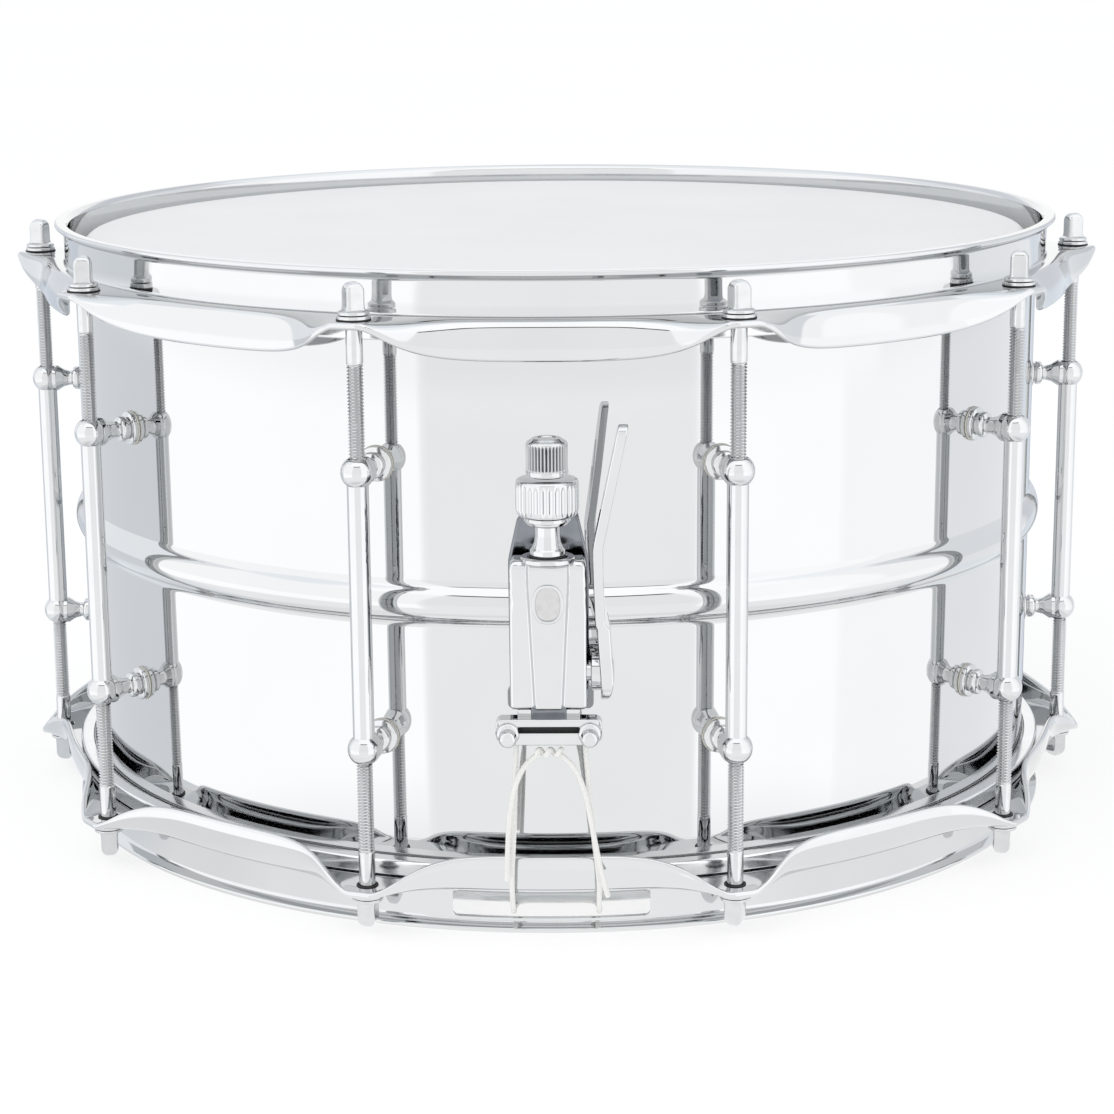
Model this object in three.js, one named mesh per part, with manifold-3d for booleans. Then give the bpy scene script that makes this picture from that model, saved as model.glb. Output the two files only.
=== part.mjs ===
// A 14 x 8 inch steel snare drum with ten tube lugs, triple-flanged hoops, a throw-off strainer and
// a butt plate. Millimetres, +Z up. The drum stands on its snare-side hoop, whose lip is z = 0, and
// the strainer faces -Y.
import * as THREE from 'three';
import { mergeVertices } from 'three/addons/utils/BufferGeometryUtils.js';
import Module from 'manifold-3d';

const wasm = await Module();
wasm.setup();

// Driving dimensions. Heights are counted from the drum's mid-plane.
const SHELL_R = 177.8;
const SHELL_HALF = 101.6;
const WALL = 1.5;
const EDGE_FLANGE = 6;
const BEAD_HEIGHT = 3.3;
const BEAD_HALF = 9;
const BED_DEPTH = 1.8;
const BED_HALF_ANGLE = 15;
const MID_Z = 108.5;
const GAP = 0.35;
const FILM = 0.35;
const FLESH_IN = 179.1;
const FLESH_OUT = 183.6;
const FLESH_TOP = 91.2;
const FLESH_BOTTOM = 81.5;
const LIP_Z = 108.5;
const EAR_TOP = 93.8;
const STEEL = 2.3;
const EAR_R = 200.3;
const BEND_R = 187;
const SKIRT_DEPTH = 12.5;
const SKIRT_DRAW = 7.5;
const LUG_COUNT = 10;
const LUG_STEP = 360 / LUG_COUNT;
const ROD_R = 193.5;
const LUG_BALL_Z = 45.4;
const LUG_BALL_R = 5.4;
const LUG_TUBE_R = 3.5;
const LUG_BORE_R = 2.95;
const ROD_THREAD_R = 2.6;
const ROD_END_Z = 27;
const ROUND = 50;
const CORD_R = 0.875;
const VENT_AZIMUTH = 108;
const VENT_Z = 30;
const VENT_R = 6.35;
const CLAMP_Z = -39.4;
const CLAMP_HEIGHT = 8.2;
const CLAMP_HALF = 16.8;
const CLAMP_SCREW_X = 12.9;
const CLAMP_SCREW_Z = -36.4;
const PLATE_F = 165;
const STRAND_COUNT = 20;
const STRAND_PITCH = 2.3;
const LEVER_PIVOT_F = 186.5;
const LEVER_PIVOT_Z = -19;

const RADIAN = Math.PI / 180;

// Materials by name: colour, roughness, metalness.
const FINISH = {
  chrome: [0xdfe3e8, 0.06, 1],
  dark_chrome: [0x7f868e, 0.15, 1],
  steel: [0xa9adb2, 0.35, 1],
  aluminium: [0xb9bcc0, 0.45, 1],
  coated_film: [0xf4f4f1, 0.6, 0],
  clear_film: [0xe6e9ea, 0.2, 0],
  cord: [0xf3f1ea, 0.85, 0],
  rubber: [0x1d1d1f, 0.7, 0],
};

const drum = new THREE.Group();
const middle = new THREE.Group();
middle.position.z = MID_Z;
drum.add(middle);

function piece(parent, name, finish, geometry) {
  const [color, roughness, metalness] = FINISH[finish];
  const material = new THREE.MeshStandardMaterial({ color, roughness, metalness });
  const mesh = new THREE.Mesh(geometry, material);
  mesh.name = name;
  parent.add(mesh);
  return mesh;
}

// A frame that faces outward at an azimuth counted from the front (-Y) towards +X:
// in it, -Y points away from the drum's axis.
function facing(azimuth) {
  const frame = new THREE.Group();
  frame.rotation.z = azimuth * RADIAN;
  middle.add(frame);
  return frame;
}

// A solid of revolution about Z. The profile is [radius, height] pairs, climbing on the outside.
function lathe(profile, segments, start = 0) {
  const points = profile.map(([r, z]) => new THREE.Vector2(r, z));
  return new THREE.LatheGeometry(points, segments, start, 2 * Math.PI).rotateX(Math.PI / 2);
}

function ring(profile, segments) {
  return lathe([...profile, profile[0]], segments);
}

// The same, about an axis that points outward (-Y) through (x, z); heights are distances outward.
function outwardLathe(profile, segments, x, z) {
  return lathe(profile, segments).rotateX(Math.PI / 2).translate(x, 0, z);
}

function box(x0, x1, f0, f1, z0, z1) {
  const geometry = new THREE.BoxGeometry(x1 - x0, f1 - f0, z1 - z0);
  return geometry.translate((x0 + x1) / 2, -(f0 + f1) / 2, (z0 + z1) / 2);
}

function outwardCylinder(r, f0, f1, x, z, sides = 12) {
  return outwardLathe([[0, f0], [r, f0], [r, f1], [0, f1]], sides, x, z);
}

function uprightCylinder(r, z0, z1, f, sides = 12) {
  return lathe([[0, z0], [r, z0], [r, z1], [0, z1]], sides).translate(0, -f, 0);
}

// Along X, through (f, z).
function crossCylinder(r, x0, x1, f, z, sides = 12) {
  return lathe([[0, x0], [r, x0], [r, x1], [0, x1]], sides).rotateY(Math.PI / 2).translate(0, -f, z);
}

function toManifold(geometry) {
  const bare = geometry.clone();
  bare.deleteAttribute('normal');
  bare.deleteAttribute('uv');
  const merged = mergeVertices(bare, 1e-4);
  const index = merged.index.array;
  const triVerts = [];
  for (let i = 0; i < index.length; i += 3) {
    const [a, b, c] = [index[i], index[i + 1], index[i + 2]];
    if (a !== b && b !== c && c !== a) triVerts.push(a, b, c);
  }
  return new wasm.Manifold(new wasm.Mesh({
    numProp: 3,
    vertProperties: new Float32Array(merged.attributes.position.array),
    triVerts: new Uint32Array(triVerts),
  }));
}

function toGeometry(manifold) {
  const mesh = manifold.getMesh();
  const geometry = new THREE.BufferGeometry();
  geometry.setAttribute('position', new THREE.BufferAttribute(mesh.vertProperties, 3));
  geometry.setIndex(new THREE.BufferAttribute(mesh.triVerts, 1));
  return geometry;
}

function join(...geometries) {
  return toGeometry(geometries.map(toManifold).reduce((sum, next) => sum.add(next)));
}

function cut(geometry, ...tools) {
  return toGeometry(tools.map(toManifold).reduce((rest, tool) => rest.subtract(tool), toManifold(geometry)));
}

// Move every vertex of a geometry by a function of its azimuth, radius and height.
function reshape(geometry, move) {
  const position = geometry.attributes.position;
  for (let i = 0; i < position.count; i += 1) {
    const [x, y, z] = [position.getX(i), position.getY(i), position.getZ(i)];
    const azimuth = Math.atan2(x, -y) / RADIAN;
    const next = move(azimuth, Math.hypot(x, y), z);
    const angle = next.azimuth * RADIAN;
    position.setXYZ(i, next.r * Math.sin(angle), -next.r * Math.cos(angle), next.z);
  }
  return geometry;
}

// ---- Shell: rolled wall with a centre bead, edges turned in at 45 degrees, two snare beds.
function beadRise(z) {
  return Math.abs(z) < BEAD_HALF ? BEAD_HEIGHT * Math.cos((Math.PI * z) / (2 * BEAD_HALF)) ** 2 : 0;
}

function shellGeometry() {
  const beadSteps = [-BEAD_HALF, -BEAD_HALF / 2, 0, BEAD_HALF / 2, BEAD_HALF];
  const shoulder = SHELL_HALF - EDGE_FLANGE;
  const inset = WALL / Math.SQRT2;
  const outside = [
    [SHELL_R - EDGE_FLANGE, -SHELL_HALF],
    [SHELL_R, -shoulder],
    ...beadSteps.map((z) => [SHELL_R + beadRise(z), z]),
    [SHELL_R, shoulder],
    [SHELL_R - EDGE_FLANGE, SHELL_HALF],
  ];
  const inside = [
    [SHELL_R - EDGE_FLANGE - inset, SHELL_HALF - inset],
    [SHELL_R - WALL, shoulder - inset / 2],
    ...beadSteps.toReversed().map((z) => [SHELL_R - WALL + beadRise(z), z]),
    [SHELL_R - WALL, -shoulder + inset / 2],
    [SHELL_R - EDGE_FLANGE - inset, -SHELL_HALF + inset],
  ];
  const bedAt = (azimuth) => {
    const off = Math.min(Math.abs(azimuth), 180 - Math.abs(azimuth)) / BED_HALF_ANGLE;
    return off < 1 ? BED_DEPTH * Math.cos((off * Math.PI) / 2) ** 2 : 0;
  };
  const wall = reshape(ring([...outside, ...inside], ROUND), (azimuth, r, z) => ({
    azimuth,
    r,
    z: z < -shoulder - 1 ? z + bedAt(azimuth) : z,
  }));
  const vent = outwardCylinder(VENT_R, SHELL_R - 10, SHELL_R + 10, 0, VENT_Z, 16);
  return cut(wall, vent.rotateZ(VENT_AZIMUTH * RADIAN));
}

piece(middle, 'shell', 'chrome', shellGeometry());

piece(facing(VENT_AZIMUTH), 'vent_grommet', 'chrome', outwardLathe([
  [4.6, SHELL_R - WALL - 1.9],
  [8.6, SHELL_R - WALL - 1.9],
  [8.6, SHELL_R - WALL - 0.7],
  [VENT_R - GAP, SHELL_R - WALL - 0.7],
  [VENT_R - GAP, SHELL_R + GAP],
  [9.5, SHELL_R + GAP],
  [8.4, SHELL_R + 1.9],
  [4.6, SHELL_R + 1.9],
  [4.6, SHELL_R - WALL - 1.9],
], 16, 0, VENT_Z));

// ---- Hoops: a wall with a flared lip, a step that presses on the flesh hoop, and a skirt that is
// flat at each rod's ear and turns down between the ears.
const EAR_NODES = [1.7, 4.2, 7.6, 11.6, 15.8];

// The lathe's even azimuths are gathered towards the ears, so that each ear is flat.
function gatherAtEars(azimuth) {
  const turn = (azimuth - LUG_STEP / 2) / LUG_STEP;
  const ear = Math.round(turn);
  const slot = (turn - ear) * 10;
  const place = Math.min(Math.floor(Math.abs(slot)), EAR_NODES.length - 1);
  return LUG_STEP * (ear + 0.5) + Math.sign(slot) * EAR_NODES[place];
}

function skirtDepth(azimuth) {
  const turn = (azimuth - LUG_STEP / 2) / LUG_STEP;
  const arc = Math.abs(turn - Math.round(turn)) * LUG_STEP * RADIAN * ROD_R;
  return arc > 6 ? SKIRT_DEPTH * (1 - Math.exp(-(((arc - 4.5) / 12) ** 1.3))) : 0;
}

function hoopGeometry() {
  const under = EAR_TOP - STEEL;
  const profile = [
    [EAR_R, under],
    [EAR_R, EAR_TOP],
    [BEND_R, EAR_TOP],
    [181.2, EAR_TOP],
    [181.2, 104.5],
    [184.5, 107.4],
    [183.9, LIP_Z],
    [180.3, LIP_Z],
    [FLESH_IN, 106.8],
    [FLESH_IN, under],
    [BEND_R - 0.01, under],
  ];
  const halfStep = (LUG_STEP / 20) * RADIAN;
  const even = lathe([...profile, profile[0]], LUG_COUNT * 10, halfStep);
  const skirted = reshape(even, (azimuth, r, z) => {
    const at = gatherAtEars(azimuth);
    const depth = skirtDepth(at);
    const reach = EAR_R - BEND_R - SKIRT_DRAW * (depth / SKIRT_DEPTH) ** 2;
    const length = Math.hypot(reach, depth);
    const edge = { azimuth: at, r: BEND_R + reach, z: EAR_TOP - depth };
    if (r > EAR_R - 1 && z > under + 1) return edge;
    if (r > EAR_R - 1) {
      return { azimuth: at, r: edge.r - (STEEL * depth) / length, z: edge.z - (STEEL * reach) / length };
    }
    if (r > BEND_R - 1 && z < under + 1) {
      return { azimuth: at, r: BEND_R - STEEL * Math.tan(Math.atan2(depth, reach) / 2), z };
    }
    return { azimuth: at, r, z };
  });
  const holes = [];
  for (let i = 0; i < LUG_COUNT; i += 1) {
    holes.push(uprightCylinder(3.3, 80, 100, ROD_R, 8).rotateZ(LUG_STEP * (i + 0.5) * RADIAN));
  }
  return cut(skirted, ...holes);
}

const batterHoop = hoopGeometry();
piece(middle, 'batter_hoop', 'chrome', batterHoop);

const GATE_HALF = 32.4;
const GATE_NEAR = -95.7;
const GATE_FAR = -104.4;
const gates = [1, -1].map((side) => {
  const slot = new THREE.BoxGeometry(2 * GATE_HALF, 30, GATE_NEAR - GATE_FAR);
  return slot.translate(0, side * FLESH_IN, (GATE_NEAR + GATE_FAR) / 2);
});
piece(middle, 'snare_side_hoop', 'chrome', cut(batterHoop.clone().rotateX(Math.PI), ...gates));

// ---- Heads: a film drawn over the bearing edge, and the flesh hoop that holds its collar.
function filmGeometry() {
  const inner = SHELL_R + GAP;
  const outer = inner + 0.5;
  const top = SHELL_HALF + 0.4 + FILM;
  const edgeSum = SHELL_R - EDGE_FLANGE + SHELL_HALF + 0.5;
  return lathe([
    [0, top - FILM],
    [edgeSum - (top - FILM), top - FILM],
    [inner, edgeSum - inner],
    [inner, FLESH_BOTTOM + 2],
    [outer, FLESH_BOTTOM + 2],
    [outer, edgeSum + 0.5 - inner],
    [edgeSum + 0.5 - top, top],
    [0, top],
  ], ROUND);
}

const film = filmGeometry();
const fleshHoop = ring([
  [FLESH_IN, FLESH_BOTTOM],
  [FLESH_OUT, FLESH_BOTTOM],
  [FLESH_OUT, FLESH_TOP],
  [FLESH_IN, FLESH_TOP],
], ROUND);
const snareSide = new THREE.Group();
snareSide.rotation.x = Math.PI;
middle.add(snareSide);
piece(middle, 'batter_head', 'coated_film', film);
piece(middle, 'batter_flesh_hoop', 'aluminium', fleshHoop);
piece(snareSide, 'snare_side_head', 'clear_film', film.clone());
piece(snareSide, 'snare_side_flesh_hoop', 'aluminium', fleshHoop.clone());

// ---- Lugs: a threaded tube between two balls, each on a turned post that stands on the shell.
function lugGeometry() {
  const shoulder = Math.sqrt(LUG_BALL_R ** 2 - LUG_TUBE_R ** 2);
  const mouth = Math.sqrt(LUG_BALL_R ** 2 - LUG_BORE_R ** 2);
  const half = [
    [LUG_TUBE_R, LUG_BALL_Z - shoulder],
    [4.9, LUG_BALL_Z - 2.3],
    [LUG_BALL_R, LUG_BALL_Z],
    [4.9, LUG_BALL_Z + 2.3],
    [LUG_BORE_R, LUG_BALL_Z + mouth],
  ];
  const lower = half.toReversed().map(([r, z]) => [r, -z]);
  const tube = ring([...lower, ...half], 8).translate(0, -ROD_R, 0);
  const post = (z) => outwardLathe([
    [0, SHELL_R + 0.4],
    [5.7, SHELL_R + 0.4],
    [5.7, SHELL_R + 2.8],
    [3.1, SHELL_R + 3.4],
    [3.8, SHELL_R + 4.4],
    [3.8, SHELL_R + 6.8],
    [2.8, SHELL_R + 7.2],
    [4.8, SHELL_R + 11.4],
    [0, SHELL_R + 12.3],
  ], 6, 0, z);
  return join(tube, post(LUG_BALL_Z), post(-LUG_BALL_Z));
}

// ---- Tension rods: a square head, a collar and washer on the hoop's ear, a shank into the lug.
function rodGeometry() {
  const washer = EAR_TOP + 0.3;
  const collar = washer + 2.8;
  const shaft = lathe([
    [0, ROD_END_Z],
    [ROD_THREAD_R, ROD_END_Z],
    [ROD_THREAD_R, washer],
    [5.25, washer],
    [5.1, collar],
    [0, collar],
  ], 6);
  const head = lathe([
    [0, collar - 0.4],
    [4.1, collar - 0.4],
    [4.1, 104.2],
    [3.2, 105.65],
    [0, 105.65],
  ], 4, Math.PI / 4);
  return join(shaft, head);
}

const lug = lugGeometry();
const rod = rodGeometry();
for (let i = 0; i < LUG_COUNT; i += 1) {
  const number = String(i + 1).padStart(2, '0');
  const seat = facing(LUG_STEP * (i + 0.5));
  piece(seat, `lug_${number}`, 'chrome', lug.clone());
  const above = piece(seat, `batter_rod_${number}`, 'steel', rod.clone());
  above.position.y = -ROD_R;
  const below = piece(seat, `snare_rod_${number}`, 'steel', rod.clone());
  below.position.y = -ROD_R;
  below.rotation.x = Math.PI;
}

// ---- Strainer. Distances outward from the drum's axis are called f.
const BASE_BACK = 181.5;
const GUIDE_FRONT = 190;
const SLIDE_BACK = 190.35;
const SLIDE_FRONT = 200;
const SLIDE_HALF = 12;
const SLIDE_TOP = 20;
const SLIDE_BOTTOM = -28.1;
const KNOB_F = 194.6;
const SCREW_R = 1.8;
const CHEEK_X = 12.9;

function extrudeXZ(outline, f0, f1) {
  const shape = new THREE.Shape(outline.map(([x, z]) => new THREE.Vector2(x, z)));
  const plate = new THREE.ExtrudeGeometry(shape, { depth: f1 - f0, bevelEnabled: false });
  return plate.rotateX(Math.PI / 2).translate(0, -f0, 0);
}

function baseGeometry() {
  const outline = [[-12.6, -30], [12.6, -30], [12.8, 17], [10, 31], [-10, 31], [-12.8, 17]];
  const plate = extrudeXZ(outline, BASE_BACK, BASE_BACK + 2.6);
  const guide = box(-10.5, 10.5, BASE_BACK + 1, GUIDE_FRONT, -27, 12);
  const cheek = box(9, CHEEK_X, BASE_BACK + 1, GUIDE_FRONT, -28, -9);
  const upperFoot = box(-9, 9, SHELL_R + 0.5, BASE_BACK + 1, 12, 29);
  const lowerFoot = box(-9, 9, SHELL_R + 0.5, BASE_BACK + 1, -29, -12);
  const bore = crossCylinder(3.4, 4, 20, LEVER_PIVOT_F, LEVER_PIVOT_Z);
  return cut(join(plate, guide, cheek, upperFoot, lowerFoot), bore);
}

function slideGeometry() {
  const bevel = 3;
  const shape = new THREE.Shape([
    new THREE.Vector2(-SLIDE_HALF, -SLIDE_BACK),
    new THREE.Vector2(-SLIDE_HALF, -SLIDE_FRONT + bevel),
    new THREE.Vector2(-SLIDE_HALF + bevel, -SLIDE_FRONT),
    new THREE.Vector2(SLIDE_HALF - bevel, -SLIDE_FRONT),
    new THREE.Vector2(SLIDE_HALF, -SLIDE_FRONT + bevel),
    new THREE.Vector2(SLIDE_HALF, -SLIDE_BACK),
  ]);
  const height = SLIDE_TOP - SLIDE_BOTTOM;
  const block = new THREE.ExtrudeGeometry(shape, { depth: height, bevelEnabled: false });
  const slot = box(-6.2, 6.2, KNOB_F - 3.4, KNOB_F + 3.4, SLIDE_BOTTOM - 1, 12);
  const bore = uprightCylinder(SCREW_R + 0.4, 10, SLIDE_TOP + 1, KNOB_F);
  return cut(block.translate(0, 0, SLIDE_BOTTOM), slot, bore);
}

// The lever is a flat bar on edge: its outline lies in the (-f, z) plane and its thickness along X,
// and it leans outward along X above its bend.
function leverGeometry() {
  const thickness = 3.2;
  const bendZ = 24;
  const front = [[194.5, -19], [195.5, -4], [197.5, 10], [200.5, bendZ], [204, 42], [207.6, 58]];
  const back = [[203.5, 61.5], [200.2, 58], [196.2, 42], [192, bendZ], [188, 12], [184.8, 0], [183.4, -9]];
  const paddle = 8;
  const steps = 9;
  const edge = [...front, ...back];
  for (let i = 1; i < steps; i += 1) {
    const angle = Math.PI - 0.5 + (i / steps) * (Math.PI + 0.5);
    edge.push([LEVER_PIVOT_F + paddle * Math.cos(angle), LEVER_PIVOT_Z + paddle * Math.sin(angle)]);
  }
  const outline = new THREE.Shape(edge.map(([f, z]) => new THREE.Vector2(-f, z)));
  const bar = new THREE.ExtrudeGeometry(outline, { depth: thickness, bevelEnabled: false });
  const position = bar.attributes.position;
  for (let i = 0; i < position.count; i += 1) {
    const [y, z, x] = [position.getX(i), position.getY(i), position.getZ(i)];
    const lean = z > bendZ ? 0.2 * (z - bendZ) : 3.3 * ((bendZ - z) / 51) ** 2;
    position.setXYZ(i, 14.1 + x + lean, y, z);
  }
  const hub = crossCylinder(6, CHEEK_X + 0.4, 17.5, LEVER_PIVOT_F, LEVER_PIVOT_Z);
  const bore = crossCylinder(3.4, 10, 25, LEVER_PIVOT_F, LEVER_PIVOT_Z);
  return cut(join(bar, hub), bore);
}

function pivotGeometry() {
  const pin = crossCylinder(3, 4.4, 21, LEVER_PIVOT_F, LEVER_PIVOT_Z);
  const head = crossCylinder(4.6, 20.6, 22, LEVER_PIVOT_F, LEVER_PIVOT_Z);
  return join(pin, head);
}

const front = facing(0);
piece(front, 'strainer_base', 'dark_chrome', baseGeometry());
piece(front, 'strainer_slide', 'chrome', slideGeometry());
piece(front, 'throw_lever', 'chrome', leverGeometry());
piece(front, 'lever_pivot', 'dark_chrome', pivotGeometry());
piece(front, 'knob_washer', 'rubber', ring([
  [2.8, SLIDE_TOP + 0.3],
  [5.7, SLIDE_TOP + 0.3],
  [5.7, SLIDE_TOP + 1],
  [2.8, SLIDE_TOP + 1],
], 16).translate(0, -KNOB_F, 0));
piece(front, 'adjust_knob', 'chrome', lathe([
  [0, -16],
  [SCREW_R, -16],
  [SCREW_R, 21.3],
  [6, 21.3],
  [6, 24],
  [4.35, 26],
  [4.35, 33],
  [7.5, 33],
  [10.05, 35.5],
  [10.05, 42.5],
  [7.2, 45.4],
  [0, 45.4],
], 16).translate(0, -KNOB_F, 0));
piece(front, 'lock_knob', 'chrome', lathe([
  [0, 45.75],
  [5.4, 45.75],
  [6.65, 47.5],
  [6.65, 55.5],
  [5, 57.6],
  [0, 57.6],
], 16).translate(0, -KNOB_F, 0));

// ---- Cord clamps: a back plate, a jaw, and two screws. The strainer's plate rides on the
// adjusting screw inside the slide; the butt's plate is fixed to the shell.
const PLATE_BACK = 193;
const PLATE_FRONT = 197.6;
const JAW_BACK = 198;
const JAW_FRONT = 201.2;

function screwBores() {
  return [-1, 1].map((side) => (
    outwardCylinder(2.1, 180, 210, side * CLAMP_SCREW_X, CLAMP_SCREW_Z)
  ));
}

function crossbar() {
  return box(-CLAMP_HALF, CLAMP_HALF, PLATE_BACK, PLATE_FRONT, CLAMP_Z, CLAMP_Z + CLAMP_HEIGHT);
}

function clampPlateGeometry() {
  const carrier = box(-5.8, 5.8, KNOB_F - 3, KNOB_F + 3, CLAMP_Z + 2, 8);
  const sleeve = uprightCylinder(SCREW_R + 0.35, -22, 9, KNOB_F);
  return cut(join(crossbar(), carrier), ...screwBores(), sleeve);
}

function jawGeometry() {
  const jaw = box(-CLAMP_HALF, CLAMP_HALF, JAW_BACK, JAW_FRONT, CLAMP_Z, CLAMP_Z + CLAMP_HEIGHT - 1.6);
  return cut(jaw, ...screwBores());
}

function clampScrewGeometry(side) {
  return outwardLathe([
    [0, PLATE_BACK + 0.6],
    [1.7, PLATE_BACK + 0.6],
    [1.7, JAW_FRONT + 0.3],
    [3.4, JAW_FRONT + 0.3],
    [3.4, 204],
    [1.8, 205.2],
    [0, 205.2],
  ], 12, side * CLAMP_SCREW_X, CLAMP_SCREW_Z);
}

function addClamp(frame, owner, plate) {
  piece(frame, `${owner}_clamp_plate`, 'chrome', plate);
  piece(frame, `${owner}_clamp_jaw`, 'chrome', jawGeometry());
  piece(frame, `${owner}_clamp_screw_left`, 'chrome', clampScrewGeometry(-1));
  piece(frame, `${owner}_clamp_screw_right`, 'chrome', clampScrewGeometry(1));
}

function buttPlateGeometry() {
  const foot = box(-14, 14, SHELL_R + 0.5, 182, -39.4, -11);
  const arm = box(-11, 11, 181, PLATE_BACK + 1, -37.4, -16);
  return cut(join(foot, arm, crossbar()), ...screwBores());
}

addClamp(front, 'strainer', clampPlateGeometry());
const rear = facing(180);
addClamp(rear, 'butt', buttPlateGeometry());

// ---- Snare wires: coiled strands soldered between two end plates, under the snare-side head.
function wiresGeometry() {
  const plates = [-1, 1].map((side) => (
    box(-24, 24, side * PLATE_F - (side > 0 ? 14 : 0), side * PLATE_F + (side > 0 ? 0 : 14), -104.3, -103.2)
  ));
  const strands = [];
  for (let i = 0; i < STRAND_COUNT; i += 1) {
    const x = (i - (STRAND_COUNT - 1) / 2) * STRAND_PITCH;
    strands.push(box(x - 0.8, x + 0.8, -PLATE_F + 8, PLATE_F - 8, -104.2, -102.8));
  }
  return join(...plates, ...strands);
}

piece(middle, 'snare_wires', 'steel', wiresGeometry());

// ---- Cords, as [x, f, z] points along their middle.
function cordGeometry(points, radius = CORD_R) {
  const path = new THREE.CatmullRomCurve3(
    points.map(([x, f, z]) => new THREE.Vector3(x, -f, z)),
    false,
    'centripetal',
  );
  const sides = 8;
  const section = [];
  for (let i = 0; i < sides; i += 1) {
    const angle = (2 * Math.PI * i) / sides;
    section.push(new THREE.Vector2(radius * Math.cos(angle), radius * Math.sin(angle)));
  }
  return new THREE.ExtrudeGeometry(new THREE.Shape(section), {
    steps: Math.ceil(path.getLength() / (radius * 6)),
    extrudePath: path,
    bevelEnabled: false,
  });
}

// Both runs leave the clamp, pass in front of the skirt, turn in through the gate and meet at the
// wires' end plate.
function snareCord(clampLeft, gateLeft, clampRight, gateRight) {
  const run = (clampX, gateX) => [
    [clampX, 197.8, CLAMP_Z - 0.35],
    [clampX + (gateX - clampX) * 0.5, 197, -66],
    [gateX, 195.9, -86],
    [gateX, 191.6, -94.4],
    [gateX, 185, -100],
    [gateX, 179.4, -102.4],
    [gateX, 172.5, -103.6],
  ];
  return [
    ...run(clampLeft, gateLeft),
    [gateLeft + 2, PLATE_F + 2.2, -103.7],
    [(gateLeft + gateRight) / 2, PLATE_F + 1.5, -103.7],
    [gateRight - 2, PLATE_F + 2.2, -103.7],
    ...run(clampRight, gateRight).toReversed(),
  ];
}

piece(front, 'snare_cord_front', 'cord', cordGeometry(snareCord(-10.4, -12.3, 11.4, 15.6)));
piece(rear, 'snare_cord_butt', 'cord', cordGeometry(snareCord(-10.6, -13, 10.6, 13)));
piece(front, 'cord_knot', 'cord', cordGeometry([[-3.4, 199, -42.2], [0, 199.2, -41.9], [3.2, 199, -42.2]], 1.5));
piece(front, 'cord_tail_left', 'cord', cordGeometry([
  [-3.8, 199.2, -42.6],
  [-7.6, 199.8, -46.2],
  [-10.8, 200.2, -53],
  [-12.6, 200, -63],
  [-13.4, 199.4, -74],
  [-13.8, 198.8, -84.6],
]));
piece(front, 'cord_tail_right', 'cord', cordGeometry([
  [3.7, 199.2, -42.7],
  [7.6, 199.8, -46.6],
  [11, 200.3, -54],
  [13.4, 200.2, -66],
  [15.8, 199.8, -79],
  [18.4, 199, -90.1],
]));

export default drum;
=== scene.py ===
from math import acos, asin, atan2, ceil, cos, degrees, exp, pi, radians, sin, sqrt, tan

import bmesh
import bpy
from mathutils import Matrix, Vector


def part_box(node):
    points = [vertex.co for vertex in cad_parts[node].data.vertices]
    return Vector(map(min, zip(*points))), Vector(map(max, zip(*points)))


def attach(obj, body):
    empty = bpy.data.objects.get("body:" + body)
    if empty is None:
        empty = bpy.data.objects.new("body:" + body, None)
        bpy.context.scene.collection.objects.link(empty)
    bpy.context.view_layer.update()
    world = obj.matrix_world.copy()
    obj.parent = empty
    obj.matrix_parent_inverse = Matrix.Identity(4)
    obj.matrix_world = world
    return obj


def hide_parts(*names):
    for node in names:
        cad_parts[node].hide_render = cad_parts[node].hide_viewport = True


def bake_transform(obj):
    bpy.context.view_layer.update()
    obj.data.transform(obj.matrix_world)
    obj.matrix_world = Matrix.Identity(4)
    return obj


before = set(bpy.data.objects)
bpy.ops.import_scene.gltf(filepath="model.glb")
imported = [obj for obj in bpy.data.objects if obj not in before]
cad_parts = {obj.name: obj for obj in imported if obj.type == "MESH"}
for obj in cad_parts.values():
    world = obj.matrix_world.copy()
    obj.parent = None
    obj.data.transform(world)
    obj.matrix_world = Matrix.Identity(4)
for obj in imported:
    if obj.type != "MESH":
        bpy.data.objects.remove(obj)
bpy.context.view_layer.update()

# A 14 x 8 inch steel snare drum. Shapes are drawn in millimetres in a frame that has its origin at the
# middle of the drum; f is the distance outward from the drum's axis, and azimuths are counted in
# degrees from the strainer's side (-Y) towards +X.
scene = bpy.context.scene
MM = 0.001
shell_low, shell_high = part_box("shell")
MIDDLE = (shell_low.z + shell_high.z) / 2


# ---- Camera
SENSOR_WIDTH = 36
LENS = 89.05
CAMERA_AT = Vector((0.01659, -1.03219, 0.32587))
CAMERA_YAW = -0.0163
CAMERA_PITCH = 0.2310
CAMERA_ROLL = -0.0080


def in_scene(name, data):
    """A new object of that data, in the scene."""
    made = bpy.data.objects.new(name, data)
    scene.collection.objects.link(made)
    return made


def make_camera():
    ahead = Vector((
        sin(CAMERA_YAW) * cos(CAMERA_PITCH),
        cos(CAMERA_YAW) * cos(CAMERA_PITCH),
        -sin(CAMERA_PITCH),
    ))
    level = Vector((cos(CAMERA_YAW), -sin(CAMERA_YAW), 0))
    upright = level.cross(ahead)
    right = level * cos(CAMERA_ROLL) + upright * sin(CAMERA_ROLL)
    up = upright * cos(CAMERA_ROLL) - level * sin(CAMERA_ROLL)
    lens = bpy.data.cameras.new("camera")
    lens.lens = LENS
    lens.sensor_width = SENSOR_WIDTH
    lens.clip_start = 0.01
    lens.clip_end = 200
    camera = in_scene("camera", lens)
    turn = Matrix((right, up, -ahead)).transposed().to_4x4()
    camera.matrix_world = Matrix.Translation(CAMERA_AT) @ turn
    scene.camera = camera


make_camera()


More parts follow.
